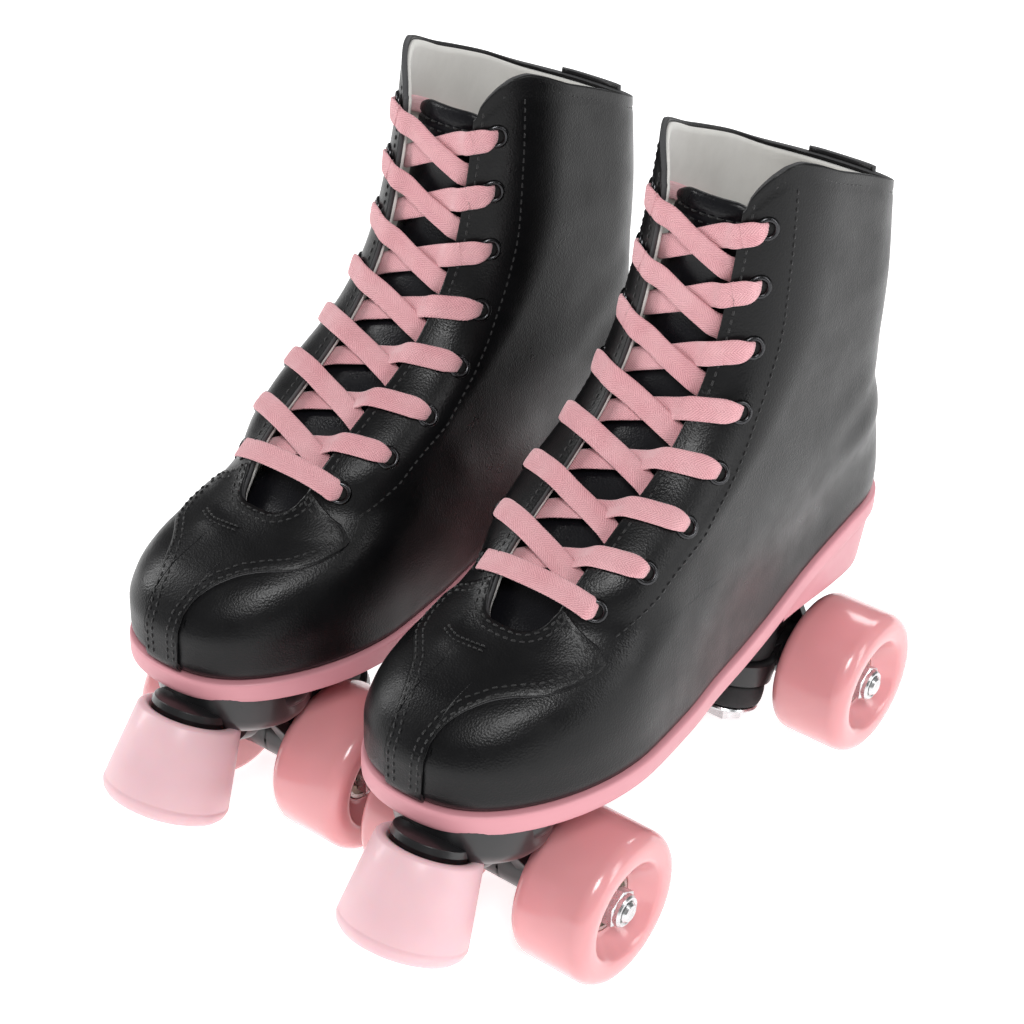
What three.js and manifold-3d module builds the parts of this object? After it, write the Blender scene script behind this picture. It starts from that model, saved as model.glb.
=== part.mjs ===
// A pair of quad roller skates: laced boots on pink soles, each with a plate,
// two steering trucks on rubber cushions, four wheels and a toe stop.
// Millimetres, +Z up, toes towards -Y, wearer's left at +X. The floor is z = 0.
// Each skate is first built about its own middle, with y = 0 at its front axle.
import * as THREE from 'three';
import { mergeVertices } from 'three/addons/utils/BufferGeometryUtils.js';
import Module from 'manifold-3d';

// ---- driving dimensions -------------------------------------------------
const GAP = 0.3;                 // clearance between seated pieces
const SEAT = 0.5;                // clearance between the boot's underside and the sole
const SKATE_SPACING = 110.3;     // middle of one skate to middle of the other
const WHEELBASE = 167.5;

const WHEEL_RADIUS = 29;
const WHEEL_WIDTH = 32;
const WHEEL_INNER_FACE = 18;     // distance from the skate's middle
const WHEEL_SIDES = 18;
const HUB_MOUTH_RADIUS = 18.7;   // recess in the outer face
const BEARING_RADIUS = 11;
const BEARING_WIDTH = 7;
const WHEEL_EDGE = 4;            // bevel of the tread's edges
const BEARING_INSET = 2;         // inner bearing, behind the wheel's inner face
const BEARING_LAND = 1.6;        // step in the wheel's bore between its bearings
const SPACER_LENGTH = 7;
const SPACER_RADIUS = 5.6;
const AXLE_RADIUS = 4;
const NUT_ACROSS_FLATS = 13;
const NUT_HEIGHT = 7.7;
const AXLE_SHOWS = 1.3;          // past the nut
const THREAD_CHAMFER = 0.7;
const ROUND_SIDES = 12;

const KINGPIN_Y = 25.5;          // from the axle, towards the middle of the skate
const KINGPIN_Z = 33;            // middle of the hanger's ring
const KINGPIN_TILT = 14;         // degrees, top towards the axle
const KINGPIN_RADIUS = 4.5;
const PIVOT_Y = -19.5;           // from the axle, towards the end of the skate
const PIVOT_Z = 50;
const PIVOT_RADIUS = 5;
const RING_THICKNESS = 10;
const RING_RADIUS = 16;
const CUSHION_RADIUS = 14;
const TOP_CUSHION = 12;
const BOTTOM_CUSHION = 10;
const WASHER_THICKNESS = 2;
const HOUSING_RADIUS = 11;       // tube round the axle
const HOUSING_INSET = 1.5;       // its ends, behind the wheels' inner faces
const SHOULDER_RADIUS = 6;       // from the housing out to the bearing
const ARM_RADIUS = 9;            // at the ring, tapering to the pivot
const ARM_LENGTH = 28;
const PIVOT_LENGTH = 8;
const PIVOT_ROOM = 1.2;          // rubber cup round the pivot
const WEB = [26, 22, 12];        // housing to ring: across, along, high
const RING_ROOM = 2;             // round the kingpin, so that the truck can lean
const KINGPIN_TOP = 28;          // end of the pin above the ring's middle
const KINGPIN_HEAD = 6;
const HEAD_RADIUS = 8.2;

const PLATE_TOP = 72.7;
const PLATE_THICKNESS = 7.5;
const PLATE_HALF_WIDTH = 21;
const NECK_HALF_WIDTH = 22;      // behind the nose, clear of the wheels as they steer
const PLATE_BACK = 196;
const PLATE_CORNER = [8, 10];    // bevel of the back corners, across and along
const NOSE_RADIUS = 28;
const NOSE_Y = -18;
const BOWL_DEPTH = 6;            // under the nose
const BOWL_RADIUS = 25;
const BOWL_MOUTH_RADIUS = 20.5;
const BOWL_FORWARD = 3;          // from the nose's centre, away from the wheels
const BOSS_FOOT_RADIUS = 17;     // truck boss where it meets the plate
const BOSS_TOP = 38;
const PIVOT_BLOCK = [24, 18];    // across, along
const PIVOT_BLOCK_DEPTH = 8;     // under the pivot
const STOP_TILT = 27;            // degrees, foot of the stop forward
const STOP_Y = -47.9;            // middle of the stop's upper rim
const STOP_Z = 64.8;
const STOP_TOP_RADIUS = 19.1;
const STOP_FOOT_RADIUS = 23.5;
const STOP_LENGTH = 36;
const STOP_BOSS_RADIUS = 14.5;
const STOP_RECESS = 5;
const STOP_RIM = [1.2, 1.5];     // bevel of the upper rim, along and across
const STOP_FOOT_EDGE = [[5.2, 0], [2, 1.2], [0, 5]];   // up from the foot, in from its side

const SOLE_TOP = 82;             // under the ball of the foot
const SOLE_THICKNESS = 8;
const SOLE_WELT = 1.6;           // how far the sole stands out from the upper
const HEEL_RISE = 22.5;          // seat of the heel above the ball of the foot
const HEEL_FRONT = 122;
const HEEL_TAPER = 2.5;          // how far its foot is drawn in
const UPPER_THICKNESS = 2.2;
const LINING_THICKNESS = 1.2;
const TONGUE_THICKNESS = 3;
const LACE_WIDTH = 7.6;
const LACE_THICKNESS = 1.4;
const LACE_ROOM = 1.7;           // free height over and under the lace
const EYELET_RADIUS = 4.2;

// Eyelet row as seen from the side, [y, z], from the toe end up.
const EYELETS = [[6, 140], [25.5, 149], [45.5, 157.5], [63, 169.5], [75.5, 187],
  [82.2, 208], [84.6, 229], [86.6, 249]];
// Front of the boot on its middle line, [z, y], with the throat closed over.
const FRONT = [[78, -48.5], [88, -51], [97, -51], [106, -47.5], [114.5, -39], [120.5, -27],
  [126, -14], [133, -3], [144, 5], [153, 16], [160.5, 28], [168.5, 41], [178, 53],
  [188, 61.5], [198, 67.5], [210, 72], [229, 75.5], [250, 78], [300, 81]];
// Back of the boot, [z, y].
const BACK = [[78, 199], [92, 199.5], [120, 193], [150, 185.5], [175, 181], [200, 179],
  [230, 176.5], [300, 172]];
// Half widths of the foot along the sole [y, w] and of the shaft by height [z, w].
const FOOT_HALF_WIDTH = [[-60, 41], [12, 41], [46, 38.5], [70, 34.8], [100, 31.8], [130, 31],
  [160, 32], [210, 32]];
const SHAFT_HALF_WIDTH = [[80, 36], [150, 36], [175, 35], [205, 34.5], [235, 32.5], [300, 29]];
// Top line of the shaft, [y, z].
const COLLAR = [[74, 251], [77, 261], [83, 268], [91, 271], [101, 268.5], [118, 261.5],
  [128, 257.5], [147, 249.5], [165, 241], [182, 234]];
// Half width of the throat by distance along the boot, [y, w], with a round lower end.
const THROAT = [[-6, 0], [-4.5, 6], [0, 11.5], [8, 14], [30, 15], [55, 17], [68, 19], [100, 19.5]];

const COLOURS = {
  leather: { color: 0x17171a, roughness: 0.45, metalness: 0 },
  lining: { color: 0xdedcd8, roughness: 0.9, metalness: 0 },
  lace: { color: 0xe8a0a5, roughness: 0.85, metalness: 0 },
  sole: { color: 0xe1a0a5, roughness: 0.5, metalness: 0 },
  wheel: { color: 0xe1877f, roughness: 0.25, metalness: 0 },
  stop: { color: 0xf0c8cd, roughness: 0.5, metalness: 0 },
  plate: { color: 0x101011, roughness: 0.3, metalness: 0.1 },
  rubber: { color: 0x1b1b1d, roughness: 0.8, metalness: 0 },
  steel: { color: 0xc4c4c0, roughness: 0.3, metalness: 1 },
};

// ---- small tools --------------------------------------------------------
const wasm = await Module();
wasm.setup();
const rad = THREE.MathUtils.degToRad;
const circumscribed = (radius, sides) => radius / Math.cos(Math.PI / sides);

// Smooth curve through [x, y] pairs with rising x, read at one x.
function along(table, x) {
  const last = table.length - 1;
  if (x <= table[0][0]) return table[0][1];
  if (x >= table[last][0]) return table[last][1];
  let i = 0;
  while (table[i + 1][0] < x) i += 1;
  const slope = (a, b) => (table[b][1] - table[a][1]) / (table[b][0] - table[a][0]);
  const tangent = (k) => {
    if (k === 0 || k === last) return k === 0 ? slope(0, 1) : slope(last - 1, last);
    const before = slope(k - 1, k);
    const after = slope(k, k + 1);
    return before * after <= 0 ? 0 : (2 * before * after) / (before + after);
  };
  const width = table[i + 1][0] - table[i][0];
  const t = (x - table[i][0]) / width;
  const h = t * t * (3 - 2 * t);
  return table[i][1] * (1 - h) + table[i + 1][1] * h
    + width * t * (1 - t) * ((1 - t) * tangent(i) - t * tangent(i + 1));
}

function solidOf(geometry) {
  const bare = geometry.clone();
  bare.deleteAttribute('normal');
  bare.deleteAttribute('uv');
  const merged = mergeVertices(bare, 1e-4);
  return new wasm.Manifold(new wasm.Mesh({
    numProp: 3,
    vertProperties: new Float32Array(merged.attributes.position.array),
    triVerts: new Uint32Array(merged.index.array),
  }));
}

function geometryOf(solid) {
  const mesh = solid.getMesh();
  const geometry = new THREE.BufferGeometry();
  geometry.setAttribute('position', new THREE.BufferAttribute(mesh.vertProperties, 3));
  geometry.setIndex(new THREE.BufferAttribute(mesh.triVerts, 1));
  return geometry;
}

const union = (list) => list.reduce((all, next) => all.add(next));

// Closed skin through rings of points; each ring mirrors about its first point.
function loft(rings) {
  const count = rings[0].length;
  const index = [];
  for (let r = 0; r + 1 < rings.length; r += 1) {
    for (let i = 0; i < count; i += 1) {
      const a = r * count + i;
      const b = r * count + ((i + 1) % count);
      index.push(a, b, b + count, a, b + count, a + count);
    }
  }
  const cap = (start, flip) => {
    for (let i = 0; i < count / 2 - 1; i += 1) {
      const right = [start + i, start + i + 1];
      const left = [start + ((count - i) % count), start + count - i - 1];
      const faces = i === 0 ? [[right[0], left[1], right[1]]]
        : [[right[0], left[0], left[1]], [right[0], left[1], right[1]]];
      faces.forEach(([a, b, c]) => index.push(...(flip ? [a, c, b] : [a, b, c])));
    }
    const end = start + count / 2;
    const tip = [end - 1, end + 1, end];
    index.push(...(flip ? [tip[0], tip[2], tip[1]] : tip));
  };
  cap(0, false);
  cap((rings.length - 1) * count, true);
  const geometry = new THREE.BufferGeometry().setFromPoints(rings.flat());
  geometry.setIndex(index);
  return geometry;
}

// Round bar along an axis: [distance, radius] pairs from the axis and back.
function turned(profile, sides) {
  const points = profile.map(([distance, radius]) => new THREE.Vector2(radius, distance));
  return new THREE.LatheGeometry(points, sides);
}

function prism(outline, from, to) {
  const shape = new THREE.Shape(outline.map(([x, y]) => new THREE.Vector2(x, y)));
  const geometry = new THREE.ExtrudeGeometry(shape, { depth: to - from, bevelEnabled: false });
  return geometry.translate(0, 0, from);
}

// Prism whose outline is [y, z] and which spans x = -reach..reach.
function sidePrism(outline, reach) {
  const geometry = prism(outline, -reach, reach);
  return geometry.applyMatrix4(new THREE.Matrix4().makeBasis(
    new THREE.Vector3(0, 1, 0), new THREE.Vector3(0, 0, 1), new THREE.Vector3(1, 0, 0)));
}

// Cylinder between two points.
function rod(from, to, radiusFrom, radiusTo, sides) {
  const way = new THREE.Vector3().subVectors(to, from);
  const geometry = new THREE.CylinderGeometry(radiusTo, radiusFrom, way.length(), sides);
  geometry.applyQuaternion(new THREE.Quaternion().setFromUnitVectors(
    new THREE.Vector3(0, 1, 0), way.clone().normalize()));
  const middle = new THREE.Vector3().addVectors(from, to).multiplyScalar(0.5);
  return geometry.translate(middle.x, middle.y, middle.z);
}

const at = (x, y, z) => new THREE.Vector3(x, y, z);

// ---- shape of the boot --------------------------------------------------
const smooth = (a, b, x) => THREE.MathUtils.smoothstep(x, a, b);
const heelRise = (y) => HEEL_RISE * smooth(85, 180, y);
// Middle line of the boot: in at the toe, out at the top of the shaft.
const middle = (y, z) => -9 * (1 - smooth(-52, 20, y)) + 4 * smooth(140, 260, z);
const roundOff = (t) => (t >= 1 ? 1 : (1 - (1 - Math.max(t, 0)) ** 2.4) ** (1 / 2.4));

function halfWidth(y, z) {
  const shaft = smooth(95, 150, z);
  const full = along(FOOT_HALF_WIDTH, y) * (1 - shaft) + along(SHAFT_HALF_WIDTH, z) * shaft;
  const frontRound = 60 - 20 * smooth(110, 150, z);
  const front = roundOff((y - along(FRONT, z)) / frontRound);
  return full * front * roundOff((along(BACK, z) - y) / 34);
}

// A point of the boot's skin: `turn` runs from the front (0) along the right-hand
// side to the back (1) and along the other side to the front again (2).
function skin(turn, level) {
  const front = along(FRONT, level);
  const back = along(BACK, level);
  const y = front + (back - front) * (1 - Math.cos(Math.PI * turn)) / 2;
  const side = Math.sin(Math.PI * turn) < 0 ? -1 : 1;
  const lift = heelRise(y) * (1 - smooth(SOLE_TOP, 165, level));
  return at(middle(y, level) + side * halfWidth(y, level), y, level + lift);
}

function skinNormal(turn, level) {
  const step = 0.03;
  const round = skin(turn + step, level).sub(skin(turn - step, level));
  return round.cross(skin(turn, level + 0.8).sub(skin(turn, level - 0.8))).normalize();
}

function underSkin(turn, level, depth) {
  return skin(turn, level).addScaledVector(skinNormal(turn, level), -depth);
}

// Turns of a ring's points on one side, closer together towards the throat.
const TURNS = [0, 0.1, 0.2, 0.3, 0.42, 0.56, 0.7, 0.85, 1];
const RING_TURNS = [...TURNS, ...TURNS.slice(1, -1).reverse().map((turn) => 2 - turn)];

function bootRing(level, inset) {
  return RING_TURNS.map((turn) => underSkin(turn, level, inset));
}

const BOOT_LEVELS = [98, 112, 122, 130, 138, 147, 158, 170, 184, 199, 218, 242, 290];

// The boot's outer form set in by `inset`, with its underside `floor` above the sole.
function bootSolid(inset, floor) {
  const levels = [SOLE_TOP + floor, ...BOOT_LEVELS];
  return solidOf(loft(levels.map((level) => bootRing(level, inset))));
}

// Everything above the top line of the shaft.
function aboveCollar(drop) {
  const line = COLLAR.map(([y, z]) => [y, z - drop]);
  const outline = [[40, 330], [40, 250 - drop], ...line, [230, 215 - drop], [230, 330]];
  return solidOf(sidePrism(outline, 90));
}

// The lacing opening, from its round lower end up through the front of the shaft.
function throat(margin) {
  const ring = (z) => {
    const place = (side, [y, w]) => at(middle(y, z) + side * (w + margin), y - margin, z);
    const back = THROAT[THROAT.length - 1][0];
    const rest = THROAT.slice(1);
    return [at(middle(THROAT[0][0], z), THROAT[0][0] - margin, z), ...rest.map((p) => place(1, p)),
      at(middle(back, z), back + 1, z), ...rest.reverse().map((p) => place(-1, p))];
  };
  return solidOf(loft([112, 140, 180, 220, 260, 320].map(ring)));
}

// The turn and level of the skin point at [y, z] on one side, above the heel's rise.
function turnAt(side, [y, z]) {
  const front = along(FRONT, z);
  const share = Math.min(Math.max((y - front) / (along(BACK, z) - front), 0), 1);
  return (side * Math.acos(1 - 2 * share)) / Math.PI;
}

function eyeletCutters() {
  const cutters = [];
  EYELETS.forEach((eyelet) => [-1, 1].forEach((side) => {
    const turn = turnAt(side, eyelet);
    const from = underSkin(turn, eyelet[1], 9);
    const to = underSkin(turn, eyelet[1], -4);
    cutters.push(solidOf(rod(from, to, EYELET_RADIUS, EYELET_RADIUS, 4)));
  }));
  return union(cutters);
}

function upperGeometry() {
  const skin = bootSolid(0, SEAT).subtract(bootSolid(UPPER_THICKNESS, SEAT + UPPER_THICKNESS));
  return geometryOf(skin.subtract(aboveCollar(0)).subtract(throat(0)).subtract(eyeletCutters()));
}

function liningGeometry() {
  const outside = UPPER_THICKNESS + GAP;
  const inside = outside + LINING_THICKNESS;
  const skin = bootSolid(outside, SEAT + outside).subtract(bootSolid(inside, SEAT + inside));
  return geometryOf(skin.subtract(aboveCollar(0.5)).subtract(throat(1)).subtract(eyeletCutters()));
}

const TONGUE_INSET = UPPER_THICKNESS + GAP + LINING_THICKNESS + LACE_THICKNESS + 2 * LACE_ROOM;

const TONGUE_BOTTOM = 116;
const TONGUE_TOP = 255;
const TONGUE_TURNS = [0.1, 0.16, 0.21];

// A padded strip behind the throat: each ring crosses it in front and comes back behind.
function tongueGeometry() {
  const within = BOOT_LEVELS.filter((level) => level > TONGUE_BOTTOM + 2 && level < TONGUE_TOP);
  const ring = (level) => {
    const front = (turn) => underSkin(turn, level, TONGUE_INSET);
    const back = (turn) => underSkin(turn, level, TONGUE_INSET + TONGUE_THICKNESS);
    const out = TONGUE_TURNS;
    const home = [...TONGUE_TURNS].reverse();
    return [front(0), ...out.map(front), ...home.map(back), back(0),
      ...out.map((turn) => back(-turn)), ...home.map((turn) => front(-turn))];
  };
  return loft([TONGUE_BOTTOM, ...within, TONGUE_TOP].map(ring));
}

// ---- sole, heel, plate and stop ----------------------------------------
const SOLE_TURNS = [0, 0.04, ...TURNS.slice(1, -1), 0.94, 1];

// One edge line of the sole: the boot's outline grown by `grow`, at height(y).
function soleRing(height, grow) {
  const place = (turn) => {
    const base = SOLE_TOP + 2;
    const edge = underSkin(turn, base, -grow);
    return at(edge.x, edge.y, height(edge.y));
  };
  const home = SOLE_TURNS.slice(1, -1).reverse();
  return [...SOLE_TURNS, ...home.map((turn) => 2 - turn)].map(place);
}

function outsoleGeometry() {
  const bottom = (y) => SOLE_TOP - SOLE_THICKNESS + heelRise(y);
  const top = (y) => SOLE_TOP + heelRise(y);
  return loft([soleRing(bottom, SOLE_WELT - 0.8), soleRing(top, SOLE_WELT)]);
}

// Heel block: the sole's outline drawn in towards the plate, under the raised seat.
function heelGeometry() {
  const foot = soleRing(() => PLATE_TOP + GAP, -HEEL_TAPER);
  const block = solidOf(loft([foot, soleRing(() => SOLE_TOP + HEEL_RISE, 0)]));
  const behind = new THREE.BoxGeometry(120, 200, 90).translate(0, HEEL_FRONT + 100, 90);
  const under = (y) => SOLE_TOP - SOLE_THICKNESS + heelRise(y) - GAP;
  const over = (y) => SOLE_TOP + 2 * HEEL_RISE + heelRise(y);
  const slab = solidOf(loft([soleRing(under, SOLE_WELT + 4), soleRing(over, SOLE_WELT + 4)]));
  return geometryOf(block.intersect(solidOf(behind)).subtract(slab));
}

const stopAxis = at(0, -Math.sin(rad(STOP_TILT)), -Math.cos(rad(STOP_TILT)));
const stopPoint = (distance) => at(0, STOP_Y, STOP_Z).addScaledVector(stopAxis, distance);

// Kingpin axis of a truck whose end of the skate is at -Y, from its ring up.
const kingpinUp = at(0, -Math.sin(rad(KINGPIN_TILT)), Math.cos(rad(KINGPIN_TILT)));
const kingpinPoint = (t) => at(0, KINGPIN_Y, KINGPIN_Z).addScaledVector(kingpinUp, t);
const bossBottom = RING_THICKNESS / 2 + TOP_CUSHION + 2 * GAP;
const NOSE_STEPS = 10;

// Places something made for the front truck at the front or the back axle.
function forTruck(geometry, back) {
  if (!back) return geometry;
  return geometry.rotateZ(Math.PI).translate(0, WHEELBASE, 0);
}

function plateOutline() {
  const points = [];
  for (let i = 0; i <= NOSE_STEPS; i += 1) {
    const angle = Math.PI + (Math.PI * i) / NOSE_STEPS;
    points.push([NOSE_RADIUS * Math.cos(angle), NOSE_Y + NOSE_RADIUS * Math.sin(angle)]);
  }
  const [cornerX, cornerY] = PLATE_CORNER;
  const side = [[NECK_HALF_WIDTH, 0], [PLATE_HALF_WIDTH, 14],
    [PLATE_HALF_WIDTH, PLATE_BACK - cornerY], [PLATE_HALF_WIDTH - cornerX, PLATE_BACK]];
  const otherSide = side.map(([x, y]) => [-x, y]).reverse();
  return [...points, ...side, ...otherSide];
}

// What one truck hangs from: a tapering boss over its kingpin and a block over its pivot.
function truckMount() {
  const under = PLATE_TOP - PLATE_THICKNESS + 1;
  const boss = rod(kingpinPoint(bossBottom), kingpinPoint(BOSS_TOP), CUSHION_RADIUS,
    BOSS_FOOT_RADIUS, ROUND_SIDES);
  const [across, length] = PIVOT_BLOCK;
  const bottom = PIVOT_Z - PIVOT_BLOCK_DEPTH;
  const block = new THREE.BoxGeometry(across, length, under - bottom);
  return [boss, block.translate(0, PIVOT_Y - 1, (under + bottom) / 2)];
}

// Its hole for the kingpin and its cup for the pivot, open towards the hanger's arm.
function truckHoles() {
  const pin = KINGPIN_RADIUS + GAP;
  const cup = PIVOT_RADIUS + PIVOT_ROOM;
  return [
    rod(kingpinPoint(0), kingpinPoint(KINGPIN_TOP + GAP), pin, pin, ROUND_SIDES),
    rod(pivotPoint(PIVOT_LENGTH), pivotPoint(-3), cup, cup, ROUND_SIDES),
    rod(pivotPoint(ARM_LENGTH + 2), pivotPoint(PIVOT_LENGTH - 3), CUSHION_RADIUS, cup, ROUND_SIDES),
  ];
}

function plateGeometry() {
  const under = PLATE_TOP - PLATE_THICKNESS;
  const bowlTop = at(0, NOSE_Y - BOWL_FORWARD, under + 1);
  const bowlMouth = at(0, NOSE_Y - BOWL_FORWARD - 1, under - BOWL_DEPTH);
  const bossEnd = stopPoint(STOP_RECESS - GAP);
  const pieces = [prism(plateOutline(), under, PLATE_TOP),
    rod(bowlTop, bowlMouth, BOWL_RADIUS, BOWL_MOUTH_RADIUS, 2 * NOSE_STEPS),
    rod(stopPoint(-14), bossEnd, STOP_BOSS_RADIUS, STOP_BOSS_RADIUS, ROUND_SIDES)];
  const cuts = [new THREE.BoxGeometry(120, 400, 40).translate(0, 60, PLATE_TOP + 20)];
  [false, true].forEach((back) => {
    pieces.push(...truckMount().map((geometry) => forTruck(geometry, back)));
    cuts.push(...truckHoles().map((geometry) => forTruck(geometry, back)));
  });
  return geometryOf(union(pieces.map(solidOf)).subtract(union(cuts.map(solidOf))));
}

function stopGeometry() {
  const recess = STOP_BOSS_RADIUS + GAP;
  const foot = STOP_FOOT_EDGE.map(([up, inward]) => [STOP_LENGTH - up, STOP_FOOT_RADIUS - inward]);
  const profile = [[STOP_RECESS, 0], [STOP_RECESS, recess], [0, recess],
    [0, STOP_TOP_RADIUS - STOP_RIM[1]], [STOP_RIM[0], STOP_TOP_RADIUS], ...foot, [STOP_LENGTH, 0]];
  const geometry = turned(profile.map(([d, r]) => [-d, r]).reverse(), 16);
  geometry.rotateX(Math.PI / 2 - rad(STOP_TILT));
  return geometry.translate(0, STOP_Y, STOP_Z);
}

// ---- truck --------------------------------------------------------------
const pivotPin = at(0, PIVOT_Y, PIVOT_Z);
const pivotWay = new THREE.Vector3().subVectors(pivotPin, at(0, KINGPIN_Y, KINGPIN_Z)).normalize();
const pivotPoint = (back) => pivotPin.clone().addScaledVector(pivotWay, -back);
const hangerEnd = WHEEL_INNER_FACE + BEARING_INSET - GAP;

function hangerGeometry() {
  const tube = (reach, radius) => (
    rod(at(-reach, 0, WHEEL_RADIUS), at(reach, 0, WHEEL_RADIUS), radius, radius, ROUND_SIDES));
  const half = RING_THICKNESS / 2;
  const pieces = [
    tube(WHEEL_INNER_FACE - HOUSING_INSET, HOUSING_RADIUS),
    tube(hangerEnd, SHOULDER_RADIUS),
    rod(kingpinPoint(-half), kingpinPoint(half), RING_RADIUS, RING_RADIUS, ROUND_SIDES),
    rod(pivotPoint(ARM_LENGTH + 6), pivotPoint(6), ARM_RADIUS, PIVOT_RADIUS + 1, ROUND_SIDES),
    rod(pivotPoint(PIVOT_LENGTH), pivotPoint(0), PIVOT_RADIUS, PIVOT_RADIUS - 1, ROUND_SIDES),
    new THREE.BoxGeometry(...WEB).translate(0, 8, WHEEL_RADIUS + 2),
  ];
  const bore = circumscribed(AXLE_RADIUS + GAP, ROUND_SIDES);
  const ringBore = KINGPIN_RADIUS + RING_ROOM;
  const cuts = [
    tube(30, bore),
    rod(kingpinPoint(-12), kingpinPoint(12), ringBore, ringBore, ROUND_SIDES),
    rod(kingpinPoint(half), kingpinPoint(24), RING_RADIUS, 26, ROUND_SIDES),
    rod(kingpinPoint(-24), kingpinPoint(-half), 20, RING_RADIUS, ROUND_SIDES),
  ];
  return geometryOf(union(pieces.map(solidOf)).subtract(union(cuts.map(solidOf))));
}

// Cushion between two distances up the kingpin, waisted a little.
function cushionGeometry(from, to) {
  const bore = circumscribed(KINGPIN_RADIUS + GAP, ROUND_SIDES);
  const middleRadius = CUSHION_RADIUS + 1;
  const profile = [[from, bore], [from, CUSHION_RADIUS - 1], [(from + to) / 2, middleRadius],
    [to, CUSHION_RADIUS - 1], [to, bore], [from, bore]];
  const geometry = turned(profile, ROUND_SIDES);
  geometry.rotateX(Math.PI / 2 + rad(KINGPIN_TILT));
  return geometry.translate(0, KINGPIN_Y, KINGPIN_Z);
}

function kingpinGeometry() {
  const washerTop = -(RING_THICKNESS / 2 + BOTTOM_CUSHION + 2 * GAP);
  const headTop = washerTop - WASHER_THICKNESS;
  const bar = (from, to, radius, sides) => (
    solidOf(rod(kingpinPoint(from), kingpinPoint(to), radius, radius, sides)));
  return geometryOf(union([
    bar(headTop - KINGPIN_HEAD, headTop + 0.5, HEAD_RADIUS, 6),
    bar(headTop, washerTop, CUSHION_RADIUS - 1, ROUND_SIDES),
    bar(washerTop - 1, KINGPIN_TOP, KINGPIN_RADIUS, ROUND_SIDES),
  ]));
}

// ---- wheels -------------------------------------------------------------
// Half of a truck's wheel stack lies along +X; the other half is turned about.
const stackStart = WHEEL_INNER_FACE + BEARING_INSET;
const stackEnd = stackStart + 2 * BEARING_WIDTH + SPACER_LENGTH;
const axleEnd = stackEnd + GAP + NUT_HEIGHT + AXLE_SHOWS;

function alongX(geometry, sides) {
  return geometry.rotateY(Math.PI / sides).rotateZ(-Math.PI / 2).translate(0, 0, WHEEL_RADIUS);
}

function wheelGeometry() {
  const outer = WHEEL_INNER_FACE + WHEEL_WIDTH;
  const tread = circumscribed(WHEEL_RADIUS, WHEEL_SIDES);
  const seat = BEARING_RADIUS + GAP;
  const land = BEARING_RADIUS - BEARING_LAND;
  const lipFrom = stackStart + BEARING_WIDTH + GAP;
  const lipTo = stackEnd - BEARING_WIDTH - GAP;
  const profile = [
    [WHEEL_INNER_FACE, seat], [WHEEL_INNER_FACE, tread - WHEEL_EDGE],
    [WHEEL_INNER_FACE + WHEEL_EDGE, tread], [outer - WHEEL_EDGE, tread],
    [outer, tread - WHEEL_EDGE], [outer, HUB_MOUTH_RADIUS], [stackEnd, seat],
    [lipTo, seat], [lipTo, land], [lipFrom, land], [lipFrom, seat], [WHEEL_INNER_FACE, seat]];
  return alongX(turned(profile, WHEEL_SIDES), WHEEL_SIDES);
}

function bearingGeometry() {
  const bore = circumscribed(AXLE_RADIUS + GAP, ROUND_SIDES);
  const near = stackStart + BEARING_WIDTH;
  const far = stackEnd - BEARING_WIDTH;
  const profile = [[stackStart, bore], [stackStart, BEARING_RADIUS], [near, BEARING_RADIUS],
    [near, SPACER_RADIUS + 1], [far, SPACER_RADIUS + 1], [far, BEARING_RADIUS],
    [stackEnd, BEARING_RADIUS], [stackEnd, bore], [stackStart, bore]];
  return alongX(turned(profile, ROUND_SIDES), ROUND_SIDES);
}

function nutGeometry() {
  const bore = circumscribed(AXLE_RADIUS + GAP, ROUND_SIDES);
  const start = stackEnd + GAP;
  const corner = circumscribed(NUT_ACROSS_FLATS / 2, 6);
  const bar = (from, to, radius, sides) => (
    solidOf(rod(at(from, 0, WHEEL_RADIUS), at(to, 0, WHEEL_RADIUS), radius, radius, sides)));
  const body = bar(start, start + NUT_HEIGHT, corner, 6);
  return geometryOf(body.subtract(bar(start - 1, start + NUT_HEIGHT + 4, bore, ROUND_SIDES)));
}

function axleGeometry() {
  const tip = AXLE_RADIUS - THREAD_CHAMFER;
  const shank = axleEnd - THREAD_CHAMFER;
  const profile = [[-axleEnd, 0], [-axleEnd, tip], [-shank, AXLE_RADIUS],
    [shank, AXLE_RADIUS], [axleEnd, tip], [axleEnd, 0]];
  return alongX(turned(profile, ROUND_SIDES), ROUND_SIDES);
}

// ---- lace ---------------------------------------------------------------
// Depths of its middle under the boot's skin: laid on the flap, between the lining
// and the tongue, and in the throat on top of the strand that it crosses.
const OVER = -(LACE_THICKNESS / 2 + LACE_ROOM);
const UNDER = UPPER_THICKNESS + GAP + LINING_THICKNESS + LACE_ROOM + LACE_THICKNESS / 2;
const CROSSING = UNDER - LACE_THICKNESS - 0.4;
const TAIL = [[92, 247], [108, 240], [124, 231], [140, 222]];

// A place on the eyelet row, counted in eyelets from the toe end.
function rowPoint(row) {
  const i = Math.min(Math.floor(row), EYELETS.length - 2);
  const mix = (k) => THREE.MathUtils.lerp(EYELETS[i][k], EYELETS[i + 1][k], row - i);
  return [mix(0), mix(1)];
}

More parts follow.
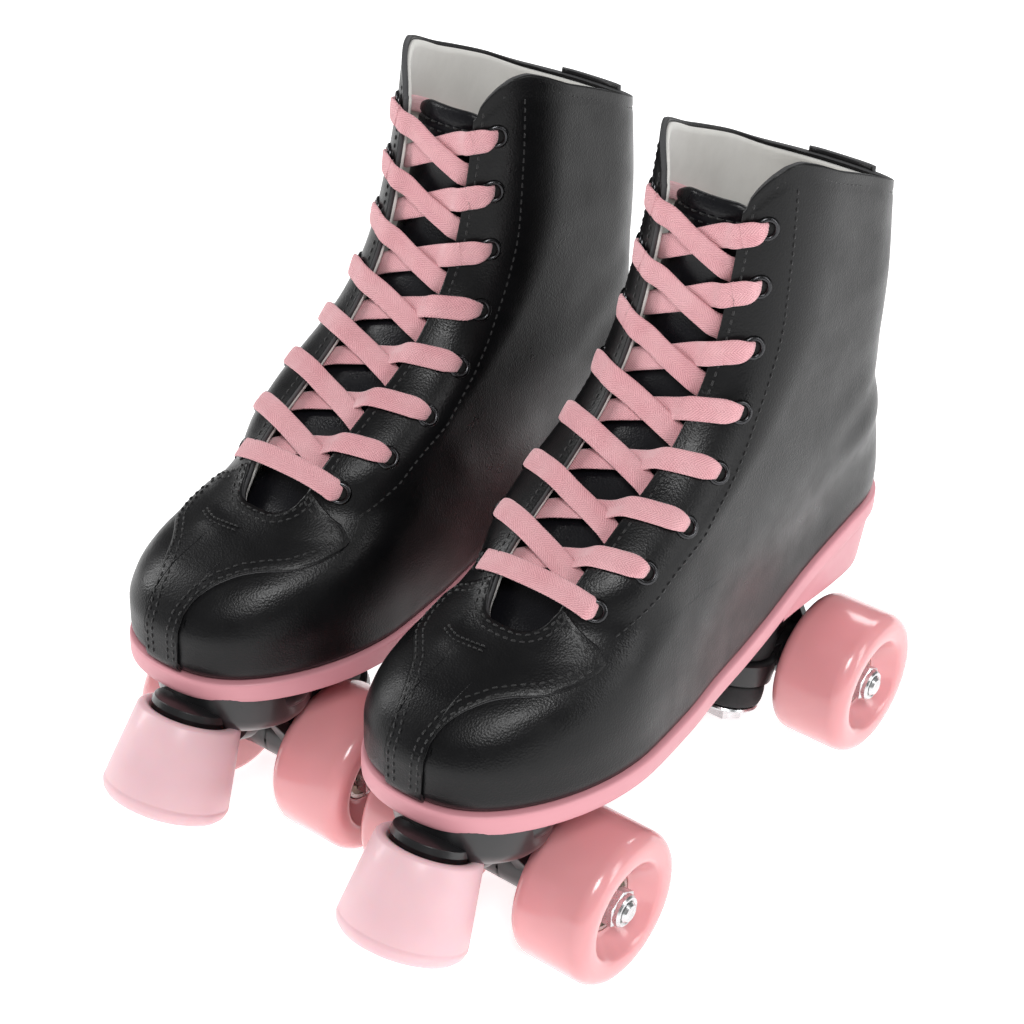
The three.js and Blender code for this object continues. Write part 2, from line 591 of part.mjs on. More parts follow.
// Skin point level with `row`, at a signed share of the way out to the eyelet row.
function lacePoint(share, row, depth) {
  const [y, z] = rowPoint(row);
  const before = rowPoint(Math.max(row - 0.5, 0));
  const after = rowPoint(Math.min(row + 0.5, EYELETS.length - 1));
  const length = Math.hypot(after[0] - before[0], after[1] - before[1]);
  const forward = [-(after[1] - before[1]) / length, (after[0] - before[0]) / length];
  const target = Math.abs(share) * halfWidth(y, z);
  let near = 0;
  let far = 45;
  for (let i = 0; i < 24; i += 1) {
    const half = (near + far) / 2;
    if (halfWidth(y + half * forward[0], z + half * forward[1]) > target) near = half;
    else far = half;
  }
  const spot = [y + near * forward[0], z + near * forward[1]];
  return underSkin(turnAt(Math.sign(share) || 1, spot), spot[1], depth);
}

// Share of the half width at which the throat's edge lies, level with `row`.
function edgeShare(row) {
  const [y, z] = rowPoint(row);
  return along(THROAT, y - 6) / halfWidth(y, z);
}

// One strand from over the flap at `high` on one side to under the flap at `low`.
function strand(side, high, low, onTop) {
  const shallow = onTop ? CROSSING : UNDER;
  const edge = edgeShare((high + low) / 2);
  const steps = [[0.95, OVER], [0.8, OVER], [edge + 0.08, OVER], [edge - 0.06, OVER + 1],
    [edge - 0.2, shallow],
    [0, shallow], [0.18 - edge, shallow], [0.02 - edge, UNDER], [-0.8, UNDER], [-0.95, UNDER]];
  return steps.map(([share, depth]) => ({
    point: lacePoint(side * share, low + ((high - low) * (1 + share)) / 2, depth),
    row: low + ((high - low) * (1 + share)) / 2,
    width: Math.abs(share) > 0.9 ? LACE_WIDTH * 0.65 : LACE_WIDTH,
  }));
}

// Through an eyelet, from outside to inside.
function pass(side, row) {
  return [OVER + 1.3, UNDER - 1.3].map((depth) => (
    { point: lacePoint(side, row, depth), row, width: LACE_WIDTH * 0.55 }));
}

function tail(side) {
  const points = TAIL.map((spot) => underSkin(turnAt(side, spot), spot[1], UNDER));
  return points.map((point) => ({ point, row: EYELETS.length - 1, width: LACE_WIDTH * 0.7 }));
}

function laceStations() {
  const top = EYELETS.length - 1;
  let side = 1;
  const stations = [...tail(side).reverse(), ...pass(side, top).reverse()];
  for (let row = top; row > 0; row -= 1) {
    stations.push(...strand(side, row, row - 1, side < 0));
    side = -side;
    stations.push(...pass(side, row - 1).reverse());
  }
  const bar = [0.9, 0.6, 0.25, -0.25, -0.6, -0.9].map((share) => (
    { point: lacePoint(side * share, 0, OVER), row: 0, width: LACE_WIDTH }));
  stations.push(...bar);
  side = -side;
  for (let row = 0; row < top; row += 1) {
    stations.push(...pass(side, row));
    stations.push(...strand(-side, row + 1, row, -side < 0).reverse());
    side = -side;
  }
  return [...stations, ...pass(side, top), ...tail(side)];
}

// Flat ribbon through the stations; its width lies along the eyelet row.
function laceGeometry() {
  const stations = laceStations();
  const rings = stations.map(({ point, row, width }, i) => {
    const before = stations[Math.max(i - 1, 0)].point;
    const after = stations[Math.min(i + 1, stations.length - 1)].point;
    const way = new THREE.Vector3().subVectors(after, before).normalize();
    const low = rowPoint(Math.max(row - 0.5, 0));
    const high = rowPoint(Math.min(row + 0.5, EYELETS.length - 1));
    const across = at(0, high[0] - low[0], high[1] - low[1]);
    across.addScaledVector(way, -across.dot(way)).normalize().multiplyScalar(width / 2);
    const thick = new THREE.Vector3().crossVectors(way, across).normalize();
    thick.multiplyScalar(LACE_THICKNESS / 2);
    return [[1, 1], [-1, 1], [-1, -1], [1, -1]].map(([a, t]) => (
      point.clone().addScaledVector(across, a).addScaledVector(thick, t)));
  });
  return loft(rings);
}

// ---- assembly -----------------------------------------------------------
const MATERIALS = Object.fromEntries(Object.entries(COLOURS).map(([name, values]) => (
  [name, new THREE.MeshStandardMaterial(values)])));

function cushions(back, list, prefix, end) {
  const half = RING_THICKNESS / 2 + GAP;
  const upper = cushionGeometry(half, half + TOP_CUSHION);
  const lower = cushionGeometry(-half - BOTTOM_CUSHION, -half);
  list.push([`${prefix}_${end}_top_cushion`, forTruck(upper, back), 'rubber']);
  list.push([`${prefix}_${end}_bottom_cushion`, forTruck(lower, back), 'rubber']);
}

// `outward` is the side of the skate that its wearer's other foot isn't on.
function truck(back, prefix, outward) {
  const end = back ? 'rear' : 'front';
  const list = [];
  cushions(back, list, prefix, end);
  list.push([`${prefix}_${end}_kingpin`, forTruck(kingpinGeometry(), back), 'steel']);
  list.push([`${prefix}_${end}_hanger`, forTruck(hangerGeometry(), back), 'plate']);
  list.push([`${prefix}_${end}_axle`, forTruck(axleGeometry(), back), 'steel']);
  [['outer', outward], ['inner', -outward]].forEach(([name, side]) => {
    const placed = (geometry) => {
      if (side < 0) geometry.rotateZ(Math.PI);
      return geometry.translate(0, back ? WHEELBASE : 0, 0);
    };
    list.push([`${prefix}_${end}_${name}_wheel`, placed(wheelGeometry()), 'wheel']);
    list.push([`${prefix}_${end}_${name}_bearing`, placed(bearingGeometry()), 'steel']);
    list.push([`${prefix}_${end}_${name}_nut`, placed(nutGeometry()), 'steel']);
  });
  return list;
}

function skate(prefix, outward) {
  const list = [
    [`${prefix}_upper`, upperGeometry(), 'leather'],
    [`${prefix}_lining`, liningGeometry(), 'lining'],
    [`${prefix}_tongue`, tongueGeometry(), 'leather'],
    [`${prefix}_lace`, laceGeometry(), 'lace'],
    [`${prefix}_outsole`, outsoleGeometry(), 'sole'],
    [`${prefix}_heel`, heelGeometry(), 'sole'],
    [`${prefix}_plate`, plateGeometry(), 'plate'],
    [`${prefix}_toe_stop`, stopGeometry(), 'stop'],
    ...truck(false, prefix, outward),
    ...truck(true, prefix, outward),
  ];
  const group = new THREE.Group();
  list.forEach(([name, geometry, material]) => {
    const mesh = new THREE.Mesh(geometry, MATERIALS[material]);
    mesh.name = name;
    group.add(mesh);
  });
  return group;
}

const skates = new THREE.Group();
const left = skate('left', 1);
left.position.x = SKATE_SPACING / 2;
const right = skate('right', -1);
right.position.x = -SKATE_SPACING / 2;
skates.add(left, right);
skates.updateMatrixWorld(true);
const extent = new THREE.Box3().setFromObject(skates, true);
skates.position.y = -(extent.min.y + extent.max.y) / 2;

export default skates;
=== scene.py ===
"""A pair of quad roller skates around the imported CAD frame.

Shapes are worked out in millimetres in one skate's own frame: x out to the wearer's left,
y back from the front axle, z up from the floor. put() carries them into the model's metres,
to the left or the right skate's place: both boots are the same shape.
"""
import math

import bpy
import numpy as np
from mathutils import Matrix, Vector


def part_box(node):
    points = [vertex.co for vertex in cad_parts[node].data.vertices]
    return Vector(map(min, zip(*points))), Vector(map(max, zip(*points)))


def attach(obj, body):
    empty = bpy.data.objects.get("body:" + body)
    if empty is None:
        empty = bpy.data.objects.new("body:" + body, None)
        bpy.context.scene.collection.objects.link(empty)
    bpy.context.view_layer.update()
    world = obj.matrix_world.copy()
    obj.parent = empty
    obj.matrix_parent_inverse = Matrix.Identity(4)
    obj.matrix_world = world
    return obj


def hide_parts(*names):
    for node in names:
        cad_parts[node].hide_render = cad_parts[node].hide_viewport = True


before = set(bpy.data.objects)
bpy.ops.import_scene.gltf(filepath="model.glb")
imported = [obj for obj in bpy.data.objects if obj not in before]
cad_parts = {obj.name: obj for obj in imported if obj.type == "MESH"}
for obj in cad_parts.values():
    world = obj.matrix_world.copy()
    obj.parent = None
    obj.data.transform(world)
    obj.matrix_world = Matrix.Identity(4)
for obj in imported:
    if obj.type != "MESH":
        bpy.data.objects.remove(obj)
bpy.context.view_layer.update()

MM = 0.001
SIDES = {"left": 1, "right": -1}


def centre(node):
    low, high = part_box(node)
    return [(low[i] + high[i]) / 2 / MM for i in range(3)]


FRONT_AXLE = centre("left_front_axle")
REAR_AXLE = centre("left_rear_axle")
SKATE_X = FRONT_AXLE[0]
ORIGIN_Y = FRONT_AXLE[1]
WHEELBASE = REAR_AXLE[1] - FRONT_AXLE[1]
AXLE_Z = FRONT_AXLE[2]

# ---- shape of the boot ----------------------------------------------------
SOLE_TOP = 82.0
SOLE_THICKNESS = 8.0
HEEL_RISE, HEEL_SLOPE, HEEL_FADES = 22.5, (85, 180), 165
TOE_SHIFT, SHAFT_SHIFT, BACK_ROUNDING = -9, 4, 34
PLATE_TOP = 72.7
LEATHER = 2.0
FRONT = [(78, -48.5), (88, -51), (97, -51), (106, -47.5), (114.5, -39), (120.5, -27),
         (126, -14), (133, -3), (144, 5), (153, 16), (160.5, 28), (168.5, 41), (178, 53),
         (188, 61.5), (198, 67.5), (210, 72), (229, 75.5), (250, 78), (300, 81)]
BACK = [(78, 199), (92, 199.5), (120, 193), (150, 185.5), (175, 181), (200, 179),
        (230, 176.5), (300, 172)]
FOOT_WIDTH = [(-60, 41), (12, 41), (46, 38.5), (70, 34.8), (100, 31.8), (130, 31),
              (160, 32), (210, 32)]
SHAFT_WIDTH = [(80, 36), (150, 36), (175, 35), (205, 34.5), (235, 32.5), (300, 29)]
COLLAR = [(70, 246), (82, 254.5), (83.2, 259), (85.5, 263.4), (88.5, 266.8), (92.5, 269.2),
          (96.5, 269.8), (101, 268.6), (118, 261),
          (128, 257), (147, 249), (165, 240.5), (186, 232.5)]
THROAT = [(-7.4, 0), (-7.1, 5), (-5.4, 9), (-1.5, 12), (4, 13.8), (12, 14.5), (30, 15), (55, 16),
          (68, 16), (100, 15.5)]
EYELETS = [(8, 139), (24.7, 149), (43.5, 158.6), (61.5, 170.6), (75, 187.3), (82, 208),
           (84.6, 229), (86.6, 249)]


def along(table, x):
    """Smooth curve through (x, y) pairs with rising x."""
    xs, ys = np.asarray(table, float).T
    steps = np.diff(ys) / np.diff(xs)
    tangent = np.zeros(len(xs))
    tangent[0], tangent[-1] = steps[0], steps[-1]
    a, b = steps[:-1], steps[1:]
    total = np.where(a + b == 0, 1, a + b)
    tangent[1:-1] = np.where(a * b <= 0, 0, 2 * a * b / total)
    x = np.clip(np.asarray(x, float), xs[0], xs[-1])
    i = np.clip(np.searchsorted(xs, x, side="right") - 1, 0, len(xs) - 2)
    width = xs[i + 1] - xs[i]
    t = (x - xs[i]) / width
    h = t * t * (3 - 2 * t)
    bend = width * t * (1 - t) * ((1 - t) * tangent[i] - t * tangent[i + 1])
    return ys[i] * (1 - h) + ys[i + 1] * h + bend


def ramp(low, high, x):
    t = np.clip((np.asarray(x, float) - low) / (high - low), 0, 1)
    return t * t * (3 - 2 * t)


def halve(low, high, rounds, further):
    """Closes in on where further(value) stops being true between low and high."""
    for _ in range(rounds):
        half = (low + high) / 2
        yes = further(half)
        low, high = np.where(yes, half, low), np.where(yes, high, half)
    return low


def heel_rise(y):
    return HEEL_RISE * ramp(*HEEL_SLOPE, y)


def middle(y, z):
    """Middle of the boot across: toe to -x and shaft to +x, the same way on both skates."""
    return TOE_SHIFT * (1 - ramp(-52, 20, y)) + SHAFT_SHIFT * ramp(140, 260, z)


def spine(ring, level):
    """A ring's points brought across to the middle of the foot."""
    return np.stack([middle(ring[:, 1], level), ring[:, 1], ring[:, 2]], -1)


def round_off(t):
    return (1 - (1 - np.clip(t, 0, 1)) ** 2.4) ** (1 / 2.4)


def half_width(y, z):
    shaft = ramp(95, 150, z)
    full = along(FOOT_WIDTH, y) * (1 - shaft) + along(SHAFT_WIDTH, z) * shaft
    front = round_off((y - along(FRONT, z)) / (60 - 20 * ramp(110, 150, z)))
    return full * front * round_off((along(BACK, z) - y) / BACK_ROUNDING)


def reach(turn, level):
    """Distance back from the front axle of a skin point."""
    front = along(FRONT, level)
    return front + (along(BACK, level) - front) * (1 - np.cos(np.pi * turn)) / 2


def skin(turn, level, depth=0.0):
    """Boot skin: turn 0 front, 1 back, 2 front again; depth is how far under the skin."""
    point = outer_skin(turn, level)
    if np.all(np.asarray(depth) == 0):
        return point
    return point - skin_normal(turn, level) * np.asarray(depth, float)[..., None]


def outer_skin(turn, level):
    turn, level = np.broadcast_arrays(np.asarray(turn, float), np.asarray(level, float))
    y = reach(turn, level)
    side = np.where(np.sin(np.pi * turn) < 0, -1, 1)
    lift = heel_rise(y) * (1 - ramp(SOLE_TOP, HEEL_FADES, level))
    return np.stack([middle(y, level) + side * half_width(y, level), y, level + lift], -1)


def skin_normal(turn, level):
    turn, level = np.asarray(turn, float), np.asarray(level, float)
    across = outer_skin(turn + 0.012, level) - outer_skin(turn - 0.012, level)
    up = outer_skin(turn, level + 0.6) - outer_skin(turn, level - 0.6)
    normal = np.cross(across, up)
    return normal / np.linalg.norm(normal, axis=-1, keepdims=True)


def throat_turn(level):
    """Turn at which the lacing opening's edge lies at this level, 0 below the opening."""
    level = np.asarray(level, float)

    def inside(turn):
        y = reach(turn, level)
        return half_width(y, level) < along(THROAT, y)

    turn = halve(np.zeros_like(level), np.full_like(level, 0.3), 26, inside)
    return np.where(turn < 1e-4, 0, turn)


def turn_at(side, y, z):
    front = along(FRONT, z)
    share = np.clip((y - front) / (along(BACK, z) - front), 0, 1)
    return side * np.arccos(1 - 2 * share) / np.pi


def nudge(turn, level, ahead):
    """Moves (turn, level) so that the skin point moves by the vectors in ahead."""
    dt, dl = 0.004, 0.5
    by_turn = (outer_skin(turn + dt, level) - outer_skin(turn - dt, level)) / (2 * dt)
    by_level = (outer_skin(turn, level + dl) - outer_skin(turn, level - dl)) / (2 * dl)
    tt, tl = (by_turn * by_turn).sum(-1), (by_turn * by_level).sum(-1)
    ll = (by_level * by_level).sum(-1)
    at, al = (by_turn * ahead).sum(-1), (by_level * ahead).sum(-1)
    det = tt * ll - tl * tl
    return turn + (at * ll - al * tl) / det, level + (al * tt - at * tl) / det


def offset_line(turn, level, distance):
    """A line on the skin beside another one, to the right of its direction."""
    points, normals = outer_skin(turn, level), skin_normal(turn, level)
    ahead = np.gradient(points, axis=0)
    beside = np.cross(ahead, normals)
    beside /= np.linalg.norm(beside, axis=-1, keepdims=True)
    return nudge(turn, level, beside * distance)


# ---- mesh building --------------------------------------------------------
BOX_FACES = [(0, 3, 2, 1), (4, 5, 6, 7), (0, 1, 5, 4), (1, 2, 6, 5), (2, 3, 7, 6), (3, 0, 4, 7)]


class Build:
    """Collects vertices and faces in skate millimetres, with a material index per face."""

    def __init__(self):
        self.points, self.faces, self.slots, self.uvs = [], [], [], []
        self.count = 0

    def add(self, points, faces, slot=0, uvs=None):
        points = np.asarray(points, float).reshape(-1, 3)
        self.points.append(points)
        self.faces += [tuple(int(i) + self.count for i in face) for face in faces]
        self.slots += [slot] * len(faces)
        self.uvs.append(np.zeros((len(points), 2)) if uvs is None else np.asarray(uvs, float))
        self.count += len(points)
        return self

    def grid(self, points, slot=0, close_u=False, close_v=False, flip=False, uvs=None):
        rows, cols = points.shape[:2]
        faces = []
        for i in range(rows if close_u else rows - 1):
            for j in range(cols if close_v else cols - 1):
                a, b = i * cols + j, i * cols + (j + 1) % cols
                c = ((i + 1) % rows) * cols + (j + 1) % cols
                d = ((i + 1) % rows) * cols + j
                faces.append((a, d, c, b) if flip else (a, b, c, d))
        flat = None if uvs is None else np.asarray(uvs, float).reshape(-1, 2)
        return self.add(points.reshape(-1, 3), faces, slot, flat)

    def rings(self, rings, slot=0, caps=True):
        """Closed skin through rings of points."""
        rings = np.asarray(rings, float)
        start, (rows, cols) = self.count, rings.shape[:2]
        self.grid(rings, slot, close_v=True)
        if caps:
            first = tuple(range(cols - 1, -1, -1))
            last = tuple(range((rows - 1) * cols, rows * cols))
            for face in (first, last):
                self.faces.append(tuple(i + start for i in face))
                self.slots.append(slot)
        return self

    def lathe(self, profile, origin, axis, slot=0, sides=48, close=False):
        """Turned piece: (distance along axis, radius) pairs; close=True for a ring section."""
        axis = np.asarray(axis, float) / np.linalg.norm(axis)
        helper = np.array([0, 0, 1.0]) if abs(axis[2]) < 0.9 else np.array([1.0, 0, 0])
        u = np.cross(helper, axis)
        u /= np.linalg.norm(u)
        v = np.cross(axis, u)
        angle = 2 * np.pi * (np.arange(sides) + 0.5) / sides
        spoke = np.cos(angle)[:, None] * u + np.sin(angle)[:, None] * v
        rings = [np.asarray(origin, float) + axis * d + spoke * r for d, r in profile]
        if close:
            return self.grid(np.array(rings), slot, close_u=True, close_v=True)
        return self.rings(rings, slot)

    def box(self, low, high):
        (x0, y0, z0), (x1, y1, z1) = low, high
        points = [(x0, y0, z0), (x1, y0, z0), (x1, y1, z0), (x0, y1, z0),
                  (x0, y0, z1), (x1, y0, z1), (x1, y1, z1), (x0, y1, z1)]
        return self.add(points, BOX_FACES)

    def turned_about(self, wheelbase):
        """The same shape made for the rear truck."""
        other = Build()
        other.points = [p * (-1, -1, 1) + (0, wheelbase, 0) for p in self.points]
        other.faces, other.slots, other.uvs = list(self.faces), list(self.slots), list(self.uvs)
        other.count = self.count
        return other


def put(build, name, side, materials, weld=False):
    """Makes the Blender object in the left (side 1) or the right (side -1) skate."""
    points = np.concatenate(build.points)
    points = points + (side * SKATE_X, ORIGIN_Y, 0)
    mesh = bpy.data.meshes.new(name)
    mesh.from_pydata((points * MM).tolist(), [], build.faces)
    for material in materials:
        mesh.materials.append(material)
    mesh.polygons.foreach_set("material_index", build.slots)
    mesh.polygons.foreach_set("use_smooth", [True] * len(build.faces))
    layer = mesh.uv_layers.new(name="lay")
    uvs = np.concatenate(build.uvs)
    loops = np.empty(len(mesh.loops), dtype=np.int32)
    mesh.loops.foreach_get("vertex_index", loops)
    layer.data.foreach_set("uv", uvs[loops].ravel())
    mesh.update()
    piece = bpy.data.objects.new(name, mesh)
    bpy.context.scene.collection.objects.link(piece)
    if weld:
        piece.modifiers.new("weld", "WELD").merge_threshold = 0.00005
    return piece


BEVEL_STEPS, BEVEL_ANGLE = 2, 50


def crisp(piece, angle):
    """Splits shading at hard edges."""
    piece.data.set_sharp_from_angle(angle=math.radians(angle))
    return piece


def bevel(piece, width):
    modifier = piece.modifiers.new("edge", "BEVEL")
    modifier.width = width * MM
    modifier.segments = BEVEL_STEPS
    modifier.limit_method = "ANGLE"
    modifier.angle_limit = math.radians(BEVEL_ANGLE)
    modifier.harden_normals = True
    return piece


def thicken(piece, thickness, rim=None):
    modifier = piece.modifiers.new("thickness", "SOLIDIFY")
    modifier.thickness = thickness * MM
    modifier.offset = -1
    modifier.use_even_offset = False
    if rim is not None:
        modifier.material_offset_rim = rim
    return piece


# ---- materials ------------------------------------------------------------
class Looks:
    """One procedural material, built node by node on the object's own coordinates."""

    def __init__(self, name, color, roughness, metallic=0.0, **sockets):
        self.material = bpy.data.materials.new(name)
        self.material.use_nodes = True
        self.tree = self.material.node_tree
        self.shader = self.tree.nodes["Principled BSDF"]
        self.paint((*color, 1))
        self.roughen(roughness)
        self.set(self.shader, "Metallic", metallic)
        for socket, value in sockets.items():
            self.set(self.shader, socket.replace("_", " "), value)
        self.place = self.node("ShaderNodeTexCoord").outputs["Object"]
        self.surface = None

    def node(self, kind, **settings):
        made = self.tree.nodes.new(kind)
        for key, value in settings.items():
            setattr(made, key, value)
        return made

    def set(self, node, socket, value):
        if isinstance(value, bpy.types.NodeSocket):
            self.tree.links.new(value, node.inputs[socket])
        else:
            node.inputs[socket].default_value = value

    def noise(self, scale, detail=4, roughness=0.6, stretch=None):
        made = self.node("ShaderNodeTexNoise")
        self.set(made, "Vector", self.stretched(stretch) if stretch else self.place)
        self.set(made, "Scale", scale)
        self.set(made, "Detail", detail)
        self.set(made, "Roughness", roughness)
        return made.outputs["Fac"]

    def stretched(self, stretch):
        made = self.node("ShaderNodeMapping")
        self.set(made, "Vector", self.place)
        self.set(made, "Scale", stretch)
        return made.outputs["Vector"]

    def cells(self, scale):
        made = self.node("ShaderNodeTexVoronoi")
        self.set(made, "Vector", self.place)
        self.set(made, "Scale", scale)
        return made.outputs["Distance"]

    def range(self, value, low, high, from_low=0.3, from_high=0.7):
        made = self.node("ShaderNodeMapRange")
        self.set(made, "Value", value)
        for socket, number in (("From Min", from_low), ("From Max", from_high),
                               ("To Min", low), ("To Max", high)):
            self.set(made, socket, number)
        return made.outputs["Result"]

    def blend(self, factor, one, two):
        made = self.node("ShaderNodeMix", data_type="RGBA")
        self.set(made, 0, factor)
        self.set(made, 6, (*one, 1) if isinstance(one, tuple) else one)
        self.set(made, 7, (*two, 1) if isinstance(two, tuple) else two)
        return made.outputs[2]

    def math(self, operation, one, two=0.0):
        made = self.node("ShaderNodeMath", operation=operation)
        self.set(made, 0, one)
        self.set(made, 1, two)
        return made.outputs[0]

    def bump(self, height, strength, distance):
        made = self.node("ShaderNodeBump")
        self.set(made, "Height", height)
        self.set(made, "Strength", strength)
        self.set(made, "Distance", distance * MM)
        if self.surface is not None:
            self.tree.links.new(self.surface, made.inputs["Normal"])
        self.surface = made.outputs["Normal"]
        self.tree.links.new(self.surface, self.shader.inputs["Normal"])
        return self

    def paint(self, value):
        self.set(self.shader, "Base Color", value)
        return self

    def roughen(self, value):
        self.set(self.shader, "Roughness", value)
        return self

    def worn_edges(self, amount, color):
        """Lightens convex edges a little."""
        point = self.node("ShaderNodeNewGeometry").outputs["Pointiness"]
        factor = self.math("MULTIPLY", self.range(point, 0, 1, 0.52, 0.6), amount)
        base = self.shader.inputs["Base Color"]
        under = base.links[0].from_socket if base.is_linked else tuple(base.default_value[:3])
        return self.paint(self.blend(factor, under, color))


def leather_looks(name, color, roughness):
    looks = Looks(name, color, roughness, Specular_IOR_Level=0.24)
    lighter = tuple(c * 1.7 + 0.001 for c in color)
    looks.paint(looks.blend(looks.range(looks.noise(24), 0, 1), color, lighter))
    looks.roughen(looks.range(looks.noise(60, 6), roughness - 0.07, roughness + 0.09))
    looks.bump(looks.noise(38, 2), 0.12, 0.6)
    looks.bump(looks.cells(1350), 0.55, 0.11)
    looks.bump(looks.noise(3200, 2), 0.35, 0.05)
    return looks.worn_edges(0.1, (0.05, 0.048, 0.048))


def lining_looks():
    looks = Looks("lining_cloth", (0.66, 0.65, 0.62), 0.92, Sheen_Weight=0.25, Sheen_Roughness=0.5)
    tone = looks.range(looks.noise(30, 5), 0, 1)
    looks.paint(looks.blend(tone, (0.6, 0.59, 0.56), (0.72, 0.71, 0.68)))
    for stretch in ((1, 0.05, 0.05), (0.05, 0.05, 1), (0.05, 1, 0.05)):
        looks.bump(looks.noise(2200, 1, stretch=stretch), 0.25, 0.12)
    return looks.bump(looks.noise(90, 3), 0.2, 0.5)


def lace_looks():
    """Flat braid: two sets of slanting ribs that meet along the middle."""
    looks = Looks("lace_braid", (0.75, 0.36, 0.39), 0.82, Sheen_Weight=0.35, Sheen_Roughness=0.4)
    lay = looks.node("ShaderNodeUVMap", uv_map="lay").outputs["UV"]
    parts = looks.node("ShaderNodeSeparateXYZ")
    looks.set(parts, "Vector", lay)
    run, across = parts.outputs["X"], parts.outputs["Y"]
    slant = looks.math("MULTIPLY", looks.math("ABSOLUTE", across), 1.15)
    ribs = looks.math("SINE", looks.math("MULTIPLY", looks.math("ADD", run, slant), 5.6))
    rows = looks.math("SINE", looks.math("MULTIPLY", across, 9.2))
    weave = looks.math("MULTIPLY", looks.math("ADD", ribs, looks.math("MULTIPLY", rows, 0.45)), 0.5)
    # Colour follows the weave's height, darker in the dips and lighter on the ribs: painted shade
    # in the braid's grooves.
    shade = looks.range(weave, 0, 1, -0.8, 0.8)
    color = looks.blend(shade, (0.56, 0.22, 0.25), (0.80, 0.42, 0.45))
    tone = looks.range(looks.noise(70, 3), 0, 0.35)
    looks.paint(looks.blend(tone, color, (0.86, 0.55, 0.57)))
    looks.bump(weave, 0.7, 0.22)
    return looks.bump(looks.noise(4200, 2), 0.35, 0.08)


def moulded_looks(name, color, roughness, grain=0.12, coat=0.0, scatter=0.0, wear=0.0):
    looks = Looks(name, color, roughness, Coat_Weight=coat, Coat_Roughness=0.12,
                  Subsurface_Weight=scatter, Subsurface_Scale=0.006)
    deeper = tuple(c * 0.93 for c in color)
    looks.paint(looks.blend(looks.range(looks.noise(28, 2), 0, 1), deeper, color))
    looks.roughen(looks.range(looks.noise(120, 7, 0.75), roughness * 0.88, roughness * 1.2))
    looks.bump(looks.noise(220, 4), 0.15, grain)
    looks.bump(looks.noise(1900, 2), 0.2, grain * 0.35)
    if not wear:
        return looks
    return looks.worn_edges(wear, tuple(min(1, c * 1.25 + 0.03) for c in color))


def metal_looks(name, color, roughness, brushed=(1, 1, 1)):
    looks = Looks(name, color, roughness, 1.0)
    haze = looks.noise(400, 6, 0.8, stretch=brushed)
    looks.roughen(looks.range(haze, roughness - 0.09, roughness + 0.14))
    darker = tuple(c * 0.62 for c in color)
    looks.paint(looks.blend(looks.range(looks.noise(160, 6), 0, 0.7), color, darker))
    return looks.bump(looks.noise(1300, 3, stretch=brushed), 0.18, 0.05)


def thread_looks(name, color):
    looks = Looks(name, color, 0.6, Sheen_Weight=0.2)
    return looks.bump(looks.noise(2600, 2, stretch=(1, 0.3, 1)), 0.5, 0.1)


LEATHER_MAT = leather_looks("leather", (0.003, 0.003, 0.0034), 0.33).material
TONGUE_MAT = leather_looks("tongue_leather", (0.0042, 0.0042, 0.0055), 0.28).material
EDGE_MAT = leather_looks("leather_edge", (0.05, 0.05, 0.052), 0.62).material
THREAD_MAT = thread_looks("stitch_thread", (0.003, 0.003, 0.0034)).material
LINING_MAT = lining_looks().material
LACE_MAT = lace_looks().material
SOLE_MAT = moulded_looks("sole_rubber", (0.68, 0.30, 0.34), 0.42, wear=0.15).material
WHEEL_MAT = moulded_looks("wheel_urethane", (0.76, 0.33, 0.345), 0.2, 0.012, 0.3, 0.12).material
STOP_MAT = moulded_looks("stop_urethane", (0.80, 0.52, 0.56), 0.42, 0.08, 0.1, 0.25, 0.2).material
PLATE_MAT = moulded_looks("plate_nylon", (0.0105, 0.0105, 0.0115), 0.3, 0.1, 0.2, wear=0.1).material
RUBBER_MAT = moulded_looks("cushion_rubber", (0.014, 0.014, 0.015), 0.72, 0.2).material
SHIELD_MAT = metal_looks("bearing_shield", (0.36, 0.34, 0.27), 0.36).material
RACE_MAT = metal_looks("bearing_race", (0.62, 0.61, 0.58), 0.24).material
STEEL_MAT = metal_looks("zinc_steel", (0.72, 0.73, 0.74), 0.26).material
EYELET_MAT = metal_looks("eyelet_enamel", (0.055, 0.055, 0.058), 0.24).material
# Near-black matt plug for the inside of each eyelet: painted shade where the hole would look dark.
EYELET_SHADE_MAT = moulded_looks("eyelet_hole", (0.003, 0.003, 0.003), 0.85).material


# ---- boot -----------------------------------------------------------------
FOOT_LEVEL, STRETCH_FROM, STRETCH_TO = 82.6, 200.0, 262.0
COLLAR_ROW = 4.4                 # the collar's row of stitches, below its edge


def levels_up(step):
    """Levels from the sole up, close together round the lower end of the throat."""
    base = np.arange(FOOT_LEVEL, STRETCH_TO + 0.01, step)
    near = np.arange(129.4, 138.0, 0.45)
    kept = base[(base < 129.2) | (base > 138.2)]
    return np.sort(np.concatenate([kept, near, [STRETCH_TO]]))


def collar_level(turn, levels, drop):
    """Levels redrawn so that the highest lies on the collar, `drop` below its edge."""

    def below(level):
        point = outer_skin(turn, level)
        return point[..., 2] < along(COLLAR, point[..., 1]) - drop

    top = halve(np.full_like(turn, STRETCH_FROM), np.full_like(turn, 300.0), 30, below)
    share = np.clip((levels - STRETCH_FROM) / (STRETCH_TO - STRETCH_FROM), 0, None)
    return np.where(levels > STRETCH_FROM, STRETCH_FROM + share * (top - STRETCH_FROM), levels)


def boot_lay(columns, step, margin=0.0, drop=0.0):
    """(turn, level) grids of the boot wall, one row per level, from throat edge to throat edge."""
    rows = levels_up(step)
    share = np.linspace(0, 1, columns)
    share = share - 0.10 * np.sin(2 * np.pi * share)
    level, across = np.meshgrid(rows, share, indexing="ij")
    for _ in range(3):
        edge = throat_turn(level[:, :1])
        edge = np.where(edge > 0, edge + margin, 0)
        turn = edge + (2 - 2 * edge) * across
        level = collar_level(turn, np.broadcast_to(rows[:, None], turn.shape), drop)
    return turn, level


